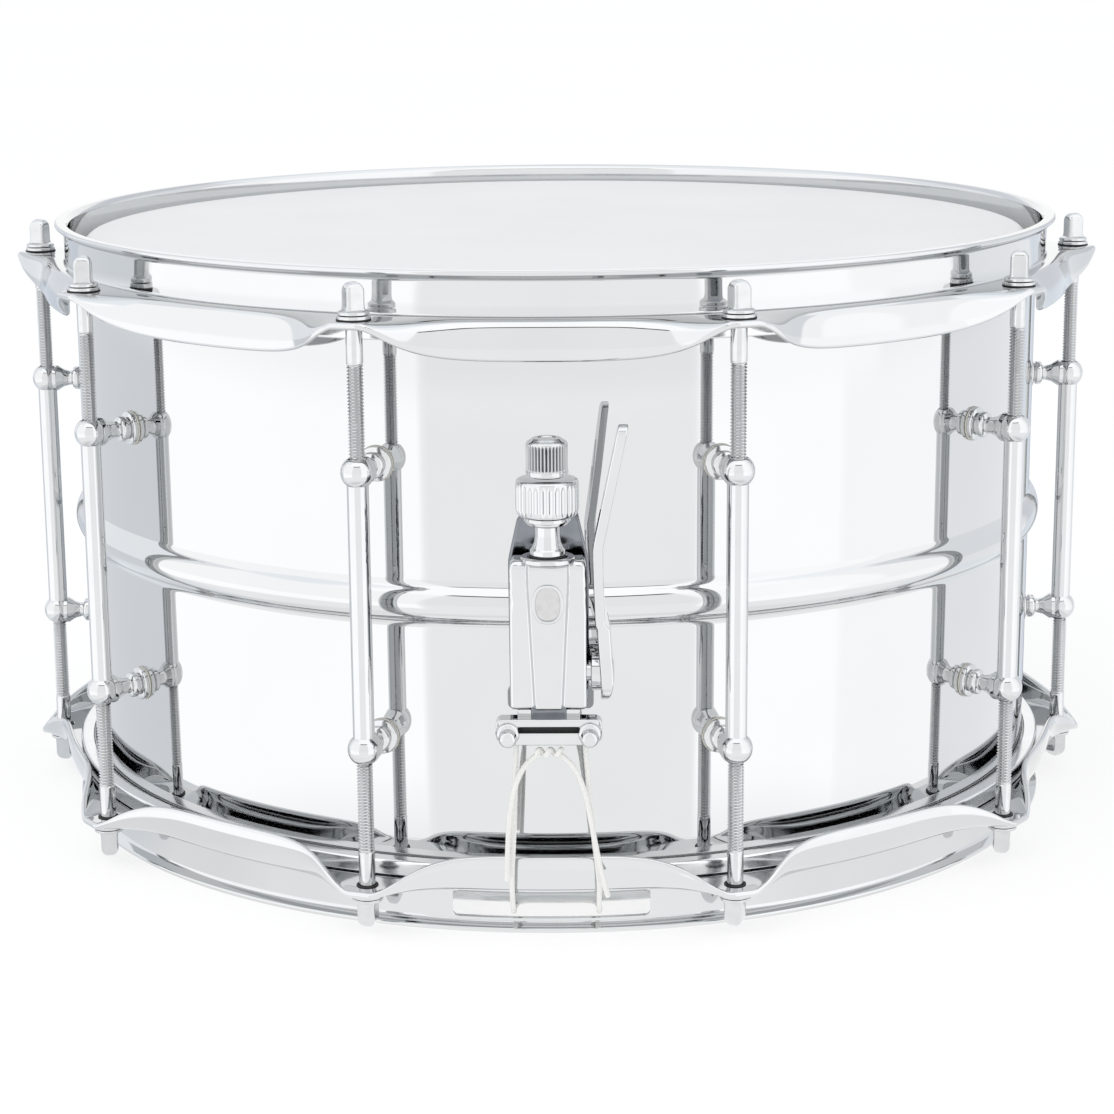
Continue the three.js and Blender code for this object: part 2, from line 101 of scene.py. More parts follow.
# ---- Materials
class Nodes:
    """A short way to add, link and set shader nodes."""

    def __init__(self, tree):
        self.tree = tree

    def feed(self, node, inputs):
        for key, value in inputs.items():
            if isinstance(value, bpy.types.NodeSocket):
                self.tree.links.new(value, node.inputs[key])
            else:
                node.inputs[key].default_value = value
        return node

    def add(self, kind, inputs=(), **settings):
        node = self.tree.nodes.new("ShaderNode" + kind)
        for key, value in settings.items():
            setattr(node, key, value)
        return self.feed(node, dict(inputs))

    def shade(self, inputs):
        """Link or set the inputs of the material's own shader."""
        self.feed(self.tree.nodes["Principled BSDF"], inputs)

    def math(self, operation, *values):
        return self.add("Math", dict(enumerate(values)), operation=operation).outputs[0]

    def split(self, kind):
        """The x, y and z of one kind of texture coordinate."""
        return self.add("SeparateXYZ", {0: self.add("TexCoord").outputs[kind]}).outputs

    def noise(self, scale, detail=3, stretch=(1, 1, 1), roughness=0.5):
        place = self.add("TexCoord").outputs["Object"]
        if tuple(stretch) != (1, 1, 1):
            place = self.add("Mapping", {"Vector": place, "Scale": stretch}).outputs[0]
        inputs = {"Vector": place, "Scale": scale, "Detail": detail, "Roughness": roughness}
        return self.add("TexNoise", inputs).outputs["Fac"]

    def between(self, value, low=0, high=1, start=0.3, stop=0.7):
        inputs = {"Value": value, "From Min": start, "From Max": stop, "To Min": low, "To Max": high}
        return self.add("MapRange", inputs).outputs["Result"]

    def blend(self, amount, first, second, **settings):
        """Mix two colours, each a tuple or a socket."""
        first, second = [(*c, 1) if isinstance(c, tuple) else c for c in (first, second)]
        inputs = {0: amount, 6: first, 7: second}
        return self.add("Mix", inputs, data_type="RGBA", **settings).outputs[2]

    def drift(self, scale, detail, low, high):
        """A colour that drifts slowly between two."""
        return self.blend(self.between(self.noise(scale, detail)), low, high)

    def bump(self, height, distance, strength=1.0, **more):
        inputs = {"Height": height, "Distance": distance, "Strength": strength, **more}
        return self.add("Bump", inputs).outputs["Normal"]


def material(name, color):
    made = bpy.data.materials.new(name)
    made.use_nodes = True
    made.diffuse_color = (*color, 1)
    return made, Nodes(made.node_tree)


def plated(name, low, high, smooth, rough, grain=60, wave=0.0, wave_scale=9):
    """Polished plate: the tint drifts a little, faint smears change its gloss, and wave is how far the
    steel under the plate is from flat."""
    made, nodes = material(name, high)
    smear = nodes.between(nodes.noise(grain * 3.1, 5, roughness=0.65), smooth, rough)
    nodes.shade({"Base Color": nodes.drift(grain, 4, low, high), "Roughness": smear, "Metallic": 1})
    if wave:
        nodes.shade({"Normal": nodes.bump(nodes.noise(wave_scale, 1), wave)})
    return made


def brushed(name, low, high, smooth, rough, streaks, depth=0.00002):
    """Bare metal with fine drawn lines along one direction."""
    made, nodes = material(name, high)
    lines = nodes.noise(900, 3, streaks)
    nodes.shade({
        "Base Color": nodes.drift(40, 3, low, high),
        "Roughness": nodes.between(lines, smooth, rough),
        "Normal": nodes.bump(lines, depth),
        "Metallic": 1,
    })
    return made


def coated_film():
    """Sprayed matt coating: a fine even grain over the film, a little uneven in tone."""
    made, nodes = material("coated_film", (0.9, 0.9, 0.89))
    grain = nodes.noise(2600, 2)
    nodes.shade({
        "Base Color": nodes.drift(14, 4, (0.885, 0.888, 0.885), (0.915, 0.917, 0.912)),
        "Roughness": nodes.between(grain, 0.55, 0.8),
        "Normal": nodes.bump(nodes.noise(700, 3), 0.00006, 0.7, Normal=nodes.bump(grain, 0.00005)),
        "Specular IOR Level": 0.35,
    })
    return made


def clear_film():
    """Thin hazy polyester."""
    made, nodes = material("clear_film", (0.86, 0.88, 0.89))
    nodes.shade({
        "Base Color": nodes.drift(30, 4, (0.80, 0.83, 0.85), (0.88, 0.90, 0.91)),
        "Roughness": nodes.between(nodes.noise(240, 4), 0.12, 0.24),
        "Alpha": 0.42,
        "Specular IOR Level": 0.7,
    })
    return made


def cord_fabric():
    """Braided nylon: strands cross in a fine diagonal pattern, with a soft sheen."""
    made, nodes = material("cord", (0.92, 0.91, 0.88))
    fibre = nodes.noise(5200, 3, (1, 1, 0.25))
    nodes.shade({
        "Base Color": nodes.blend(nodes.between(fibre), (0.88, 0.875, 0.85), (0.97, 0.968, 0.955)),
        "Normal": nodes.bump(fibre, 0.00012),
        "Roughness": 0.85,
        "Sheen Weight": 0.25,
    })
    return made


def grooved_plate(name, f, root, crest, low, high, groove_shade):
    """Chrome on a thread or ribs about an upright axis at f, with the grooves' shade painted dark into the
    colour; the grooves run from a low to a high place."""
    made, nodes = material(name, (0.66, 0.67, 0.68))
    x, y, z = nodes.split("Object")
    flat = nodes.add("CombineXYZ", {0: x, 1: nodes.math("ADD", y, f * MM)}).outputs[0]
    radius = nodes.add("VectorMath", {0: flat}, operation="LENGTH").outputs["Value"]
    above = nodes.between(z, 0, 1, high * MM, (high + GROOVE_FADE) * MM)
    below = nodes.between(z, 1, 0, (low - GROOVE_FADE) * MM, low * MM)
    unshaded = nodes.between(radius, 0, 1, root * MM, crest * MM)
    unshaded = nodes.math("MAXIMUM", nodes.math("MAXIMUM", unshaded, above), below)
    plate = nodes.drift(300, 4, (0.63, 0.645, 0.655), (0.69, 0.695, 0.70))
    nodes.shade({
        # Painted shade: the colour turns dark from the crest down into each groove's root.
        "Base Color": nodes.blend(unshaded, groove_shade, plate),
        "Roughness": nodes.between(nodes.noise(930, 5), 0.05, 0.13),
        "Metallic": 1,
    })
    return made


def soft_solid(name, low, high, rough, depth):
    """A gasket or washer: moulded, matt, faintly mottled."""
    made, nodes = material(name, high)
    mottle = nodes.noise(900, 4)
    nodes.shade({
        "Base Color": nodes.blend(nodes.between(mottle), low, high),
        "Roughness": nodes.between(mottle, rough - 0.1, rough + 0.1),
        "Normal": nodes.bump(mottle, depth),
    })
    return made


# What the grooved finishes have to know of the shapes they cover.
ROD_THREAD_R = 2.7
ROD_END = 27
THREAD_DEPTH = 0.6
THREAD_TOP = 80.5
KNOB_F = 194.6
LOCK_KNOB_R = 6.5
LOCK_RIBS_LOW = 48.2
LOCK_RIBS_HIGH = 56.4
GROOVE_FADE = 0.3

SHELL_CHROME = plated("shell_chrome", (0.675, 0.685, 0.692), (0.692, 0.699, 0.704), 0.012, 0.03,
                      grain=22, wave=0.00006, wave_scale=11)
CHROME = plated("chrome", (0.665, 0.68, 0.69), (0.695, 0.703, 0.708), 0.02, 0.05, grain=90)
HOOP_CHROME = plated("hoop_chrome", (0.67, 0.682, 0.69), (0.69, 0.70, 0.706), 0.03, 0.06,
                     grain=35, wave=0.00004, wave_scale=24)
DARK_CHROME = plated("dark_chrome", (0.20, 0.215, 0.24), (0.27, 0.285, 0.31), 0.08, 0.16, grain=120)
# The last colour given to each grooved finish is painted shade for its grooves: the rod's thread and the
# lock knob's ribs.
ROD_PLATE = grooved_plate("rod_plate", 0, ROD_THREAD_R - THREAD_DEPTH + 0.05, ROD_THREAD_R - 0.12, ROD_END,
                          THREAD_TOP, (0.62, 0.625, 0.635))
KNURLED_CHROME = grooved_plate("knurled_chrome", KNOB_F, LOCK_KNOB_R - 0.65, LOCK_KNOB_R + 0.1,
                               LOCK_RIBS_LOW + 0.5, LOCK_RIBS_HIGH - 0.4, (0.04, 0.045, 0.055))
NICKEL = plated("nickel", (0.56, 0.565, 0.565), (0.66, 0.66, 0.655), 0.10, 0.2, grain=300)
SPRING_STEEL = brushed("spring_steel", (0.58, 0.575, 0.565), (0.70, 0.695, 0.685), 0.2, 0.34, (1, 0.1, 1))
ALUMINIUM = brushed("aluminium", (0.78, 0.79, 0.80), (0.87, 0.875, 0.88), 0.12, 0.22, (1, 1, 6), 0.000004)
COATED_FILM = coated_film()
CLEAR_FILM = clear_film()
CORD_FABRIC = cord_fabric()
RUBBER = soft_solid("rubber", (0.012, 0.012, 0.013), (0.03, 0.03, 0.032), 0.6, 0.00003)
GASKET = soft_solid("gasket", (0.62, 0.60, 0.54), (0.74, 0.72, 0.66), 0.55, 0.00002)

# The slot looked up for a piece from its finish, unless it names another; piece() looks it up but does not
# keep it.
SLOTS = {
    SHELL_CHROME: "chrome", CHROME: "chrome", HOOP_CHROME: "chrome", KNURLED_CHROME: "chrome",
    DARK_CHROME: "dark_chrome", ROD_PLATE: "steel", NICKEL: "steel", SPRING_STEEL: "steel",
    ALUMINIUM: "aluminium", COATED_FILM: "coated_film", CLEAR_FILM: "clear_film",
    CORD_FABRIC: "cord", RUBBER: "rubber", GASKET: None,
}


# ---- Solids in mesh code
class Solid:
    """Points in millimetres and faces, gathered part by part for one mesh. Its edges are sharp from an
    angle in degrees."""

    def __init__(self, sharp=32):
        self.sharp = sharp
        self.points = []
        self.faces = []

    def skin(self, rings, place=None, closed=False):
        """Join rings of equally many points into a skin. An open row of rings gets two end faces."""
        first = len(self.points)
        count = len(rings[0])
        for ring in rings:
            spots = [Vector(p) for p in ring]
            self.points += spots if place is None else [place @ p for p in spots]
        for i in range(len(rings) if closed else len(rings) - 1):
            low = first + i * count
            high = first + (i + 1) % len(rings) * count
            for j in range(count):
                k = (j + 1) % count
                self.faces.append((low + j, low + k, high + k, high + j))
        if not closed:
            last = len(self.points) - count
            self.faces.append(tuple(range(first + count - 1, first - 1, -1)))
            self.faces.append(tuple(range(last, last + count)))
        return self

    def move(self, change):
        self.points = [change(p) for p in self.points]
        return self


WELD = 1e-6


def mesh_of(name, solid):
    mesh = bpy.data.meshes.new(name)
    mesh.from_pydata([p * MM for p in solid.points], [], solid.faces)
    work = bmesh.new()
    work.from_mesh(mesh)
    bmesh.ops.remove_doubles(work, verts=work.verts, dist=WELD)
    bmesh.ops.dissolve_degenerate(work, edges=work.edges, dist=WELD)
    bmesh.ops.recalc_face_normals(work, faces=work.faces)
    work.to_mesh(mesh)
    work.free()
    mesh.shade_smooth()
    mesh.set_sharp_from_angle(angle=radians(solid.sharp))
    return mesh


def facing(azimuth):
    """A frame at the drum's middle whose -Y points outward at that azimuth."""
    return Matrix.Translation((0, 0, MIDDLE)) @ Matrix.Rotation(radians(azimuth), 4, "Z")


FRONT = facing(0)
REAR = facing(180)


def piece(name, shape, finish, replaces=(), body="drum", place=FRONT, slot=None):
    """One visible piece, from a solid or from a mesh that several pieces share."""
    mesh = mesh_of(name, shape) if isinstance(shape, Solid) else shape
    if not mesh.materials:
        mesh.materials.append(finish)
    thing = in_scene(name, mesh)
    thing.matrix_world = place
    if body:
        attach(thing, body)
    if replaces:
        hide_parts(*replaces)
    slot = slot or SLOTS[finish]
    return thing


def flat_normals(thing):
    """Keeps wide flat faces flat beside their rounded edges."""
    thing.modifiers.new("even_normals", "WEIGHTED_NORMAL").keep_sharp = True


def bored(thing, *tools):
    """Cut the tools, which are solids in the thing's own frame, out of its mesh."""
    cutters = []
    for tool in tools:
        cutter = in_scene("cutter", mesh_of("cutter", tool))
        cutter.matrix_world = thing.matrix_world
        cut = thing.modifiers.new("cut", "BOOLEAN")
        cut.operation = "DIFFERENCE"
        cut.solver = "EXACT"
        cut.object = cutter
        cutters.append(cutter)
    bpy.context.view_layer.update()
    shaped = thing.evaluated_get(bpy.context.evaluated_depsgraph_get())
    old, thing.data = thing.data, bpy.data.meshes.new_from_object(shaped)
    thing.modifiers.clear()
    bpy.data.meshes.remove(old)
    for cutter in cutters:
        bpy.data.meshes.remove(cutter.data)


ARC_STEP = 15


def full_turn(count):
    return [2 * pi * i / count for i in range(count)]


def fillet(corners, closed=False, step=ARC_STEP):
    """A 2-D outline from corners, each (x, y) or (x, y, radius of its rounding)."""
    outline = []
    count = len(corners)
    for i, corner in enumerate(corners):
        point = Vector(corner[:2])
        end = not closed and i in (0, count - 1)
        if len(corner) < 3 or end:
            outline.append(point)
            continue
        back = Vector(corners[i - 1][:2]) - point
        ahead = Vector(corners[(i + 1) % count][:2]) - point
        half = back.angle(ahead) / 2
        reach = min(corner[2] / tan(half), 0.49 * back.length, 0.49 * ahead.length)
        radius = reach * tan(half)
        heart = point + (back.normalized() + ahead.normalized()).normalized() * radius / sin(half)
        arm = point + back.normalized() * reach - heart
        sweep = arm.angle_signed(point + ahead.normalized() * reach - heart)
        steps = max(2, ceil(degrees(abs(sweep)) / step))
        for k in range(steps + 1):
            outline.append(heart + Matrix.Rotation(-sweep * k / steps, 2) @ arm)
    return outline


def raised(profile, height):
    return [Vector((r, height + h)) for r, h in profile]


def lathe(profile, segments=64):
    """Rings about Z of a profile of (radius, height)."""
    return [[(r * sin(t), -r * cos(t), z) for t in full_turn(segments)] for r, z in profile]


def circle(radius, segments=32):
    return [Vector((radius * cos(t), radius * sin(t))) for t in full_turn(segments)]


def ring_at(z, turns, reach):
    """A ring at a height, with its own radius at each turn."""
    return [(r * cos(t), r * sin(t), z) for r, t in zip(reach, turns)]


def inset(outline, amount):
    """The outline moved inward by an amount, its corners mitred."""
    count = len(outline)
    area = sum(outline[i - 1].cross(outline[i]) for i in range(count))
    side = 1 if area > 0 else -1
    moved = []
    for i, point in enumerate(outline):
        back = (point - outline[i - 1]).normalized()
        ahead = (outline[(i + 1) % count] - point).normalized()
        normal = (back + ahead).normalized().orthogonal() * side
        moved.append(point + normal * amount / max(normal.dot(back.orthogonal() * side), 0.3))
    return moved


def prism(outline, low, high, bevel=0.0, steps=3):
    """Rings of an outline raised from low to high, with rounded rims."""
    if not bevel:
        return [[(*p, h) for p in outline] for h in (low, high)]
    angles = [pi / 2 * i / steps for i in range(steps + 1)]
    rims = [(bevel * (1 - sin(a)), low + bevel * (1 - cos(a))) for a in angles]
    rims += [(bevel * (1 - sin(a)), high - bevel * (1 - cos(a))) for a in reversed(angles)]
    return [[(*p, h) for p in inset(outline, amount)] for amount, h in rims]


def rectangle(x0, x1, y0, y1, radius):
    return fillet([(x0, y0, radius), (x1, y0, radius), (x1, y1, radius), (x0, y1, radius)], True)


def outward(x=0, z=0):
    """Places a solid drawn about +Z so that its axis points outward through (x, z)."""
    return Matrix(((1, 0, 0, x), (0, 0, -1, 0), (0, 1, 0, z), (0, 0, 0, 1)))


def across(f, z):
    """Places a solid drawn about +Z so that its axis runs along +X through (f, z)."""
    return Matrix(((0, 0, 1, 0), (1, 0, 0, -f), (0, 1, 0, z), (0, 0, 0, 1)))


def upright(f):
    return Matrix.Translation((0, -f, 0))


# ---- Cords
CORD_R = 0.875
BRAID_PITCH = 3.2
BRAID_STRANDS = 4
BRAID_DEPTH = 0.10
CLAMP_Z = -39.4
PLATE_F = 165
SPLIT_Z = -62


def spline(route, step=0.22):
    """Points at even steps along a centripetal Catmull-Rom curve through a route of (x, f, z)."""
    points = [Vector((x, -f, z)) for x, f, z in route]
    ends = [points[0] * 2 - points[1], *points, points[-1] * 2 - points[-2]]
    line = [points[0]]
    for p0, p1, p2, p3 in zip(ends, ends[1:], ends[2:], ends[3:]):
        d0, d1, d2 = [sqrt((b - a).length) for a, b in ((p0, p1), (p1, p2), (p2, p3))]
        t1 = ((p1 - p0) / d0 - (p2 - p0) / (d0 + d1) + (p2 - p1) / d1) * d1
        t2 = ((p2 - p1) / d1 - (p3 - p1) / (d1 + d2) + (p3 - p2) / d2) * d1
        count = max(2, round((p2 - p1).length / step))
        for i in range(1, count + 1):
            t = i / count
            rise = (p2 - p1) * 3 - t1 * 2 - t2
            bend = (p1 - p2) * 2 + t1 + t2
            line.append(p1 + t1 * t + rise * t * t + bend * t ** 3)
    return line


def tube(line, sides, reach, cap=True):
    """Rings round a line that doesn't twist. reach gives the radius at a run along it and a turn."""
    rings = []
    along = (line[1] - line[0]).normalized()
    side = along.orthogonal().normalized()
    run = 0.0
    for i, point in enumerate(line):
        before = line[max(i - 1, 0)]
        after = line[min(i + 1, len(line) - 1)]
        along = (after - before).normalized()
        side = (side - along * side.dot(along)).normalized()
        over = along.cross(side)
        if i:
            run += (point - line[i - 1]).length
        arms = [(side * cos(t) + over * sin(t)) * reach(run, t) for t in full_turn(sides)]
        rings.append([point + arm for arm in arms])
    if cap:
        first_step = line[0] - line[1]
        last_step = line[-1] - line[-2]
        last_ring = [p + last_step for p in rings[-2]]
        rings[-1:] = end_cap(last_ring, line[-1], last_step)[::-1]
        rings[:1] = end_cap(rings[0], line[0], first_step)
    return rings


def end_cap(ring, point, step):
    """A tube's end ring, and before it three smaller ones that round it off at its end point."""
    direction = step.normalized()
    caps = []
    for angle in (80, 55, 28):
        share = cos(radians(angle))
        lift = 0.5 * sin(radians(angle))
        caps.append([point + (p - point) * share + direction * lift for p in ring])
    return caps + [ring]


def braid(run, turn):
    """A round braid: two sets of strands cross at opposite pitches."""
    phase = 2 * pi * run / BRAID_PITCH * BRAID_STRANDS / 2
    right = cos(BRAID_STRANDS * turn + phase)
    left = cos(BRAID_STRANDS * turn - phase)
    return CORD_R * (1 - BRAID_DEPTH / 2 + BRAID_DEPTH / 2 * max(right, left))


def snare_route(clamp_left, gate_left, clamp_right, gate_right):
    """Both runs leave the clamp, pass in front of the skirt, turn in through the gate and meet at the
    wires' end plate."""
    def leg(clamp_x, gate_x):
        return [
            (clamp_x, 197.8, CLAMP_Z - 0.35),
            (clamp_x + (gate_x - clamp_x) * 0.5, 197, -66),
            (gate_x, 195.9, -86), (gate_x, 191.6, -94.4), (gate_x, 185, -100),
            (gate_x, 179.4, -102.4), (gate_x, 172.5, -103.6),
        ]

    plate = [
        (gate_left + 2, PLATE_F + 2.2, -103.7),
        ((gate_left + gate_right) / 2, PLATE_F + 1.5, -103.7),
        (gate_right - 2, PLATE_F + 2.2, -103.7),
    ]
    return spline(leg(clamp_left, gate_left) + plate + leg(clamp_right, gate_right)[::-1])


def cord_piece(name, line, replaces, body=None, place=FRONT):
    return piece(name, Solid(60).skin(tube(line, 16, braid)), CORD_FABRIC, replaces, body, place)


def front_cord():
    """The cord in three pieces: the lower part below SPLIT_Z, and on each side an upper leg from there up to
    the clamp.
    """
    line = snare_route(-10.4, -12.3, 11.4, 15.6)
    below = [i for i, p in enumerate(line) if p.z <= SPLIT_Z]
    first, last = below[0], below[-1]
    lower = cord_piece("snare_cord_front_lower", line[first:last + 1], ["snare_cord_front"])
    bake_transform(lower)
    legs = {"left": line[:first + 2], "right": line[last - 1:]}
    for side, leg in legs.items():
        upper = cord_piece(f"snare_cord_front_{side}", leg, ["snare_cord_front"])
        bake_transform(upper)


TAILS = {
    "left": [(-3.8, 199.2, -42.6), (-7.6, 199.8, -46.2), (-10.8, 200.2, -53),
             (-12.6, 200, -63), (-13.4, 199.4, -74), (-13.8, 198.8, -84.6)],
    "right": [(3.7, 199.2, -42.7), (7.6, 199.8, -46.6), (11, 200.3, -54),
              (13.4, 200.2, -66), (15.8, 199.8, -79), (18.4, 199, -90.1)],
}


def cord_tails():
    for side, route in TAILS.items():
        line = spline(route)
        tail = cord_piece(f"cord_tail_{side}_braided", line, [f"cord_tail_{side}"], "cord_clamp")


def cord_knot():
    """A knot pulled tight: one end winds round the other in close turns."""
    turns = 2.3
    steps = 84
    line = []
    for i in range(steps + 1):
        t = 2 * pi * turns * i / steps
        y = -199.4 - 0.95 * cos(t)
        line.append(Vector((-4.0 + 8.0 * i / steps, y, -41.9 + 0.95 * sin(t))))
    cord_piece("cord_knot_braided", line, ["cord_knot"], "cord_clamp")


front_cord()
cord_tails()
cord_knot()
butt_line = snare_route(-10.6, -13, 10.6, 13)
cord_piece("snare_cord_butt_braided", butt_line, ["snare_cord_butt"], "drum", REAR)

# ---- Shell
SHELL_R = 177.8
SHELL_HALF = 101.6
WALL = 1.5
EDGE_FLANGE = 6
BEAD_HALF = 8.2
BEAD_CROWN_R = 7.2
BEAD_ROOT_R = 3.94
BEAD_SLOPE = asin(BEAD_HALF / (BEAD_CROWN_R + BEAD_ROOT_R))
BEAD_HEIGHT = (BEAD_CROWN_R + BEAD_ROOT_R) * (1 - cos(BEAD_SLOPE))
BED_DEPTH = 1.8
BED_HALF_ANGLE = 15
VENT_AZIMUTH = 108
VENT_Z = 30
VENT_R = 6.35
LUG_COUNT = 10
LUG_STEP = 360 / LUG_COUNT
LUG_BALL_Z = 45.4
FINE_ROUND = 360


def bead_line():
    """The rolled bead's section as (rise, z), upwards: a round crown between two hollow roots."""
    crown = []
    root = []
    for i in range(13):
        a = BEAD_SLOPE * i / 12
        crown.append(Vector((BEAD_HEIGHT - BEAD_CROWN_R * (1 - cos(a)), BEAD_CROWN_R * sin(a))))
        root.append(Vector((BEAD_ROOT_R * (1 - cos(a)), BEAD_HALF - BEAD_ROOT_R * sin(a))))
    upper = crown + root[-2::-1]
    return [Vector((rise, -z)) for rise, z in reversed(upper[1:])] + upper


def bed_at(azimuth):
    """How far the lower edge is pressed up, over the snare wires' ends."""
    off = min(abs(azimuth), 180 - abs(azimuth)) / BED_HALF_ANGLE
    return BED_DEPTH * cos(off * pi / 2) ** 2 if off < 1 else 0


def shell():
    shoulder = SHELL_HALF - EDGE_FLANGE
    lip = WALL / sqrt(2)
    bead = bead_line()
    outside = fillet([
        (SHELL_R - EDGE_FLANGE, -SHELL_HALF, 0.5), (SHELL_R, -shoulder, 1.6),
        (SHELL_R, -BEAD_HALF - 1),
    ])
    outside += [Vector((SHELL_R + rise, z)) for rise, z in bead]
    outside += fillet([
        (SHELL_R, BEAD_HALF + 1), (SHELL_R, shoulder, 1.6),
        (SHELL_R - EDGE_FLANGE, SHELL_HALF, 0.5),
    ])
    rim = SHELL_R - EDGE_FLANGE - lip
    inner = SHELL_R - WALL
    inside = [Vector((rim, SHELL_HALF - lip)), Vector((inner, shoulder - lip / 2))]
    inside += [Vector((inner + rise, z)) for rise, z in reversed(bead)]
    inside += [Vector((inner, -shoulder + lip / 2)), Vector((rim, -SHELL_HALF + lip))]

    def press(point):
        if point.z < -shoulder - 0.5:
            point.z += bed_at(degrees(atan2(point.x, -point.y)))
        return point

    solid = Solid().skin(lathe(outside + inside, FINE_ROUND), closed=True).move(press)
    made = piece("shell_plated", solid, SHELL_CHROME, ["shell"])
    turn = Matrix.Rotation(radians(VENT_AZIMUTH), 4, "Z")
    vent = Solid().skin(prism(circle(VENT_R, 48), SHELL_R - 10, SHELL_R + 10), turn @ outward(0, VENT_Z))
    bored(made, vent)


def vent_grommet():
    inner = SHELL_R - WALL
    ring = fillet([
        (4.6, inner - 1.9, 0.5), (8.6, inner - 1.9, 0.5), (8.6, inner - 0.3, 0.2),
        (VENT_R - 0.2, inner - 0.3), (VENT_R - 0.2, SHELL_R + 0.15), (9.5, SHELL_R + 0.15, 0.3),
        (8.6, SHELL_R + 1.9, 0.9), (4.6, SHELL_R + 1.9, 0.6),
    ], True)
    solid = Solid().skin(lathe(ring, 96), outward(0, VENT_Z), True)
    piece("vent_grommet_rolled", solid, CHROME, ["vent_grommet"], place=facing(VENT_AZIMUTH))


# ---- Hoops
LIP_Z = 108.5
EAR_TOP = 93.8
STEEL = 2.3
EAR_R = 200.3
BEND_R = 183.2
SKIRT_DEPTH = 12.0
SKIRT_DRAW = 11.8
ROD_R = 193.5
WALL_IN = 179.1
WALL_OUT = 181.2
HOOP_ROUND = 720
SKIRT_STEPS = 12
SKIRT_SQUARENESS = 2.7
GATE_HALF = 32.4
GATE_NEAR = -95.7
GATE_FAR = -104.4


def skirt_depth(azimuth):
    """The hoop's flange is flat at each rod's ear and turns down between the ears."""
    turn = (azimuth - LUG_STEP / 2) / LUG_STEP
    arc = abs(turn - round(turn)) * radians(LUG_STEP) * ROD_R
    return SKIRT_DEPTH * (1 - exp(-((max(arc - 4.5, 0) / 12) ** 1.3)))


def hoop_section(azimuth):
    """The hoop's closed profile at an azimuth: the skirt's top from its bend to its edge, the edge, the
    skirt's underside, the inner wall, the lip and the outer wall."""
    depth = skirt_depth(azimuth)
    reach = EAR_R - BEND_R - SKIRT_DRAW * (depth / SKIRT_DEPTH) ** 2
    power = 2 / SKIRT_SQUARENESS
    tops = []
    for i in range(SKIRT_STEPS + 1):
        t = pi / 2 * i / SKIRT_STEPS
        drop = 1 - max(cos(t), 0) ** power
        tops.append(Vector((BEND_R + reach * sin(t) ** power, EAR_TOP - depth * drop)))
    unders = []
    for i, top in enumerate(tops):
        along = tops[min(i + 1, SKIRT_STEPS)] - tops[max(i - 1, 0)]
        under = top - Vector((-along.y, along.x)).normalized() * STEEL
        if unders:
            under = Vector((max(under.x, unders[-1].x), min(under.y, unders[-1].y)))
        unders.append(under)
    heart = (tops[-1] + unders[-1]) / 2
    arm = tops[-1] - heart
    tip = [heart + Matrix.Rotation(-radians(a), 2) @ arm for a in (30, 60, 90, 120, 150)]
    under = EAR_TOP - STEEL
    wall = fillet([
        (BEND_R - 0.3, under), (WALL_IN, under, 2.6), (WALL_IN, 107.0, 1.6), (180.8, LIP_Z, 0.8),
        (184.3, LIP_Z, 0.8), (184.3, 107.0, 0.8), (WALL_OUT, 105.4, 1.6), (WALL_OUT, EAR_TOP, 1.4),
        (BEND_R - 0.3, EAR_TOP),
    ], step=18)
    return tops + tip + unders[::-1] + wall


def hoop(name, node, turned, gates):
    rings = []
    for azimuth in [360 * i / HOOP_ROUND for i in range(HOOP_ROUND)]:
        a = radians(azimuth)
        rings.append([(r * sin(a), -r * cos(a), z) for r, z in hoop_section(azimuth)])
    solid = Solid(50).skin(rings, closed=True)
    if turned:
        solid.move(lambda p: Vector((p.x, -p.y, -p.z)))
    made = piece(name, solid, HOOP_CHROME, [node])
    holes = Solid()
    for i in range(LUG_COUNT):
        seat = Matrix.Rotation(radians(LUG_STEP * (i + 0.5)), 4, "Z") @ upright(ROD_R)
        side = -1 if turned else 1
        low, high = sorted((side * 85, side * 98))
        holes.skin(prism(circle(3.3, 24), low, high), seat)
    bored(made, holes, *gates)


def gate(side):
    outline = rectangle(-GATE_HALF, GATE_HALF, GATE_FAR, GATE_NEAR, 2.2)
    low, high = sorted((side * (WALL_IN - 6), side * (WALL_OUT + 6)))
    return Solid().skin(prism(outline, low, high), outward())


shell()
vent_grommet()
hoop("batter_hoop_rolled", "batter_hoop", False, [])
hoop("snare_side_hoop_rolled", "snare_side_hoop", True, [gate(1), gate(-1)])

# ---- Heads and flesh hoops
FLESH_OUT = 183.6
FLESH_TOP = 91.2
FLESH_BOTTOM = 85.9
FLESH_IN = 178.8
FILM = 0.35
FILM_TOP = SHELL_HALF + 0.4 + FILM
TURN_OVER = Matrix.Rotation(pi, 4, "X")


def film(name, node, finish, place):
    """A film drawn over the bearing edge, with a soft crease where it turns down."""
    inner = SHELL_R + 0.35
    outer = inner + 0.5
    edge = SHELL_R - EDGE_FLANGE + SHELL_HALF + 0.5
    profile = fillet([
        (0, FILM_TOP - FILM), (120, FILM_TOP - FILM), (edge - FILM_TOP + FILM, FILM_TOP - FILM, 2),
        (inner, edge - inner, 2), (inner, FLESH_BOTTOM + 0.3), (outer, FLESH_BOTTOM + 0.3),
        (outer, edge + 0.5 - inner, 2.4), (edge + 0.5 - FILM_TOP, FILM_TOP, 2.4), (120, FILM_TOP),
        (0, FILM_TOP),
    ], step=10)
    piece(name, Solid(40).skin(lathe(profile, 256)), finish, [node], place=place)


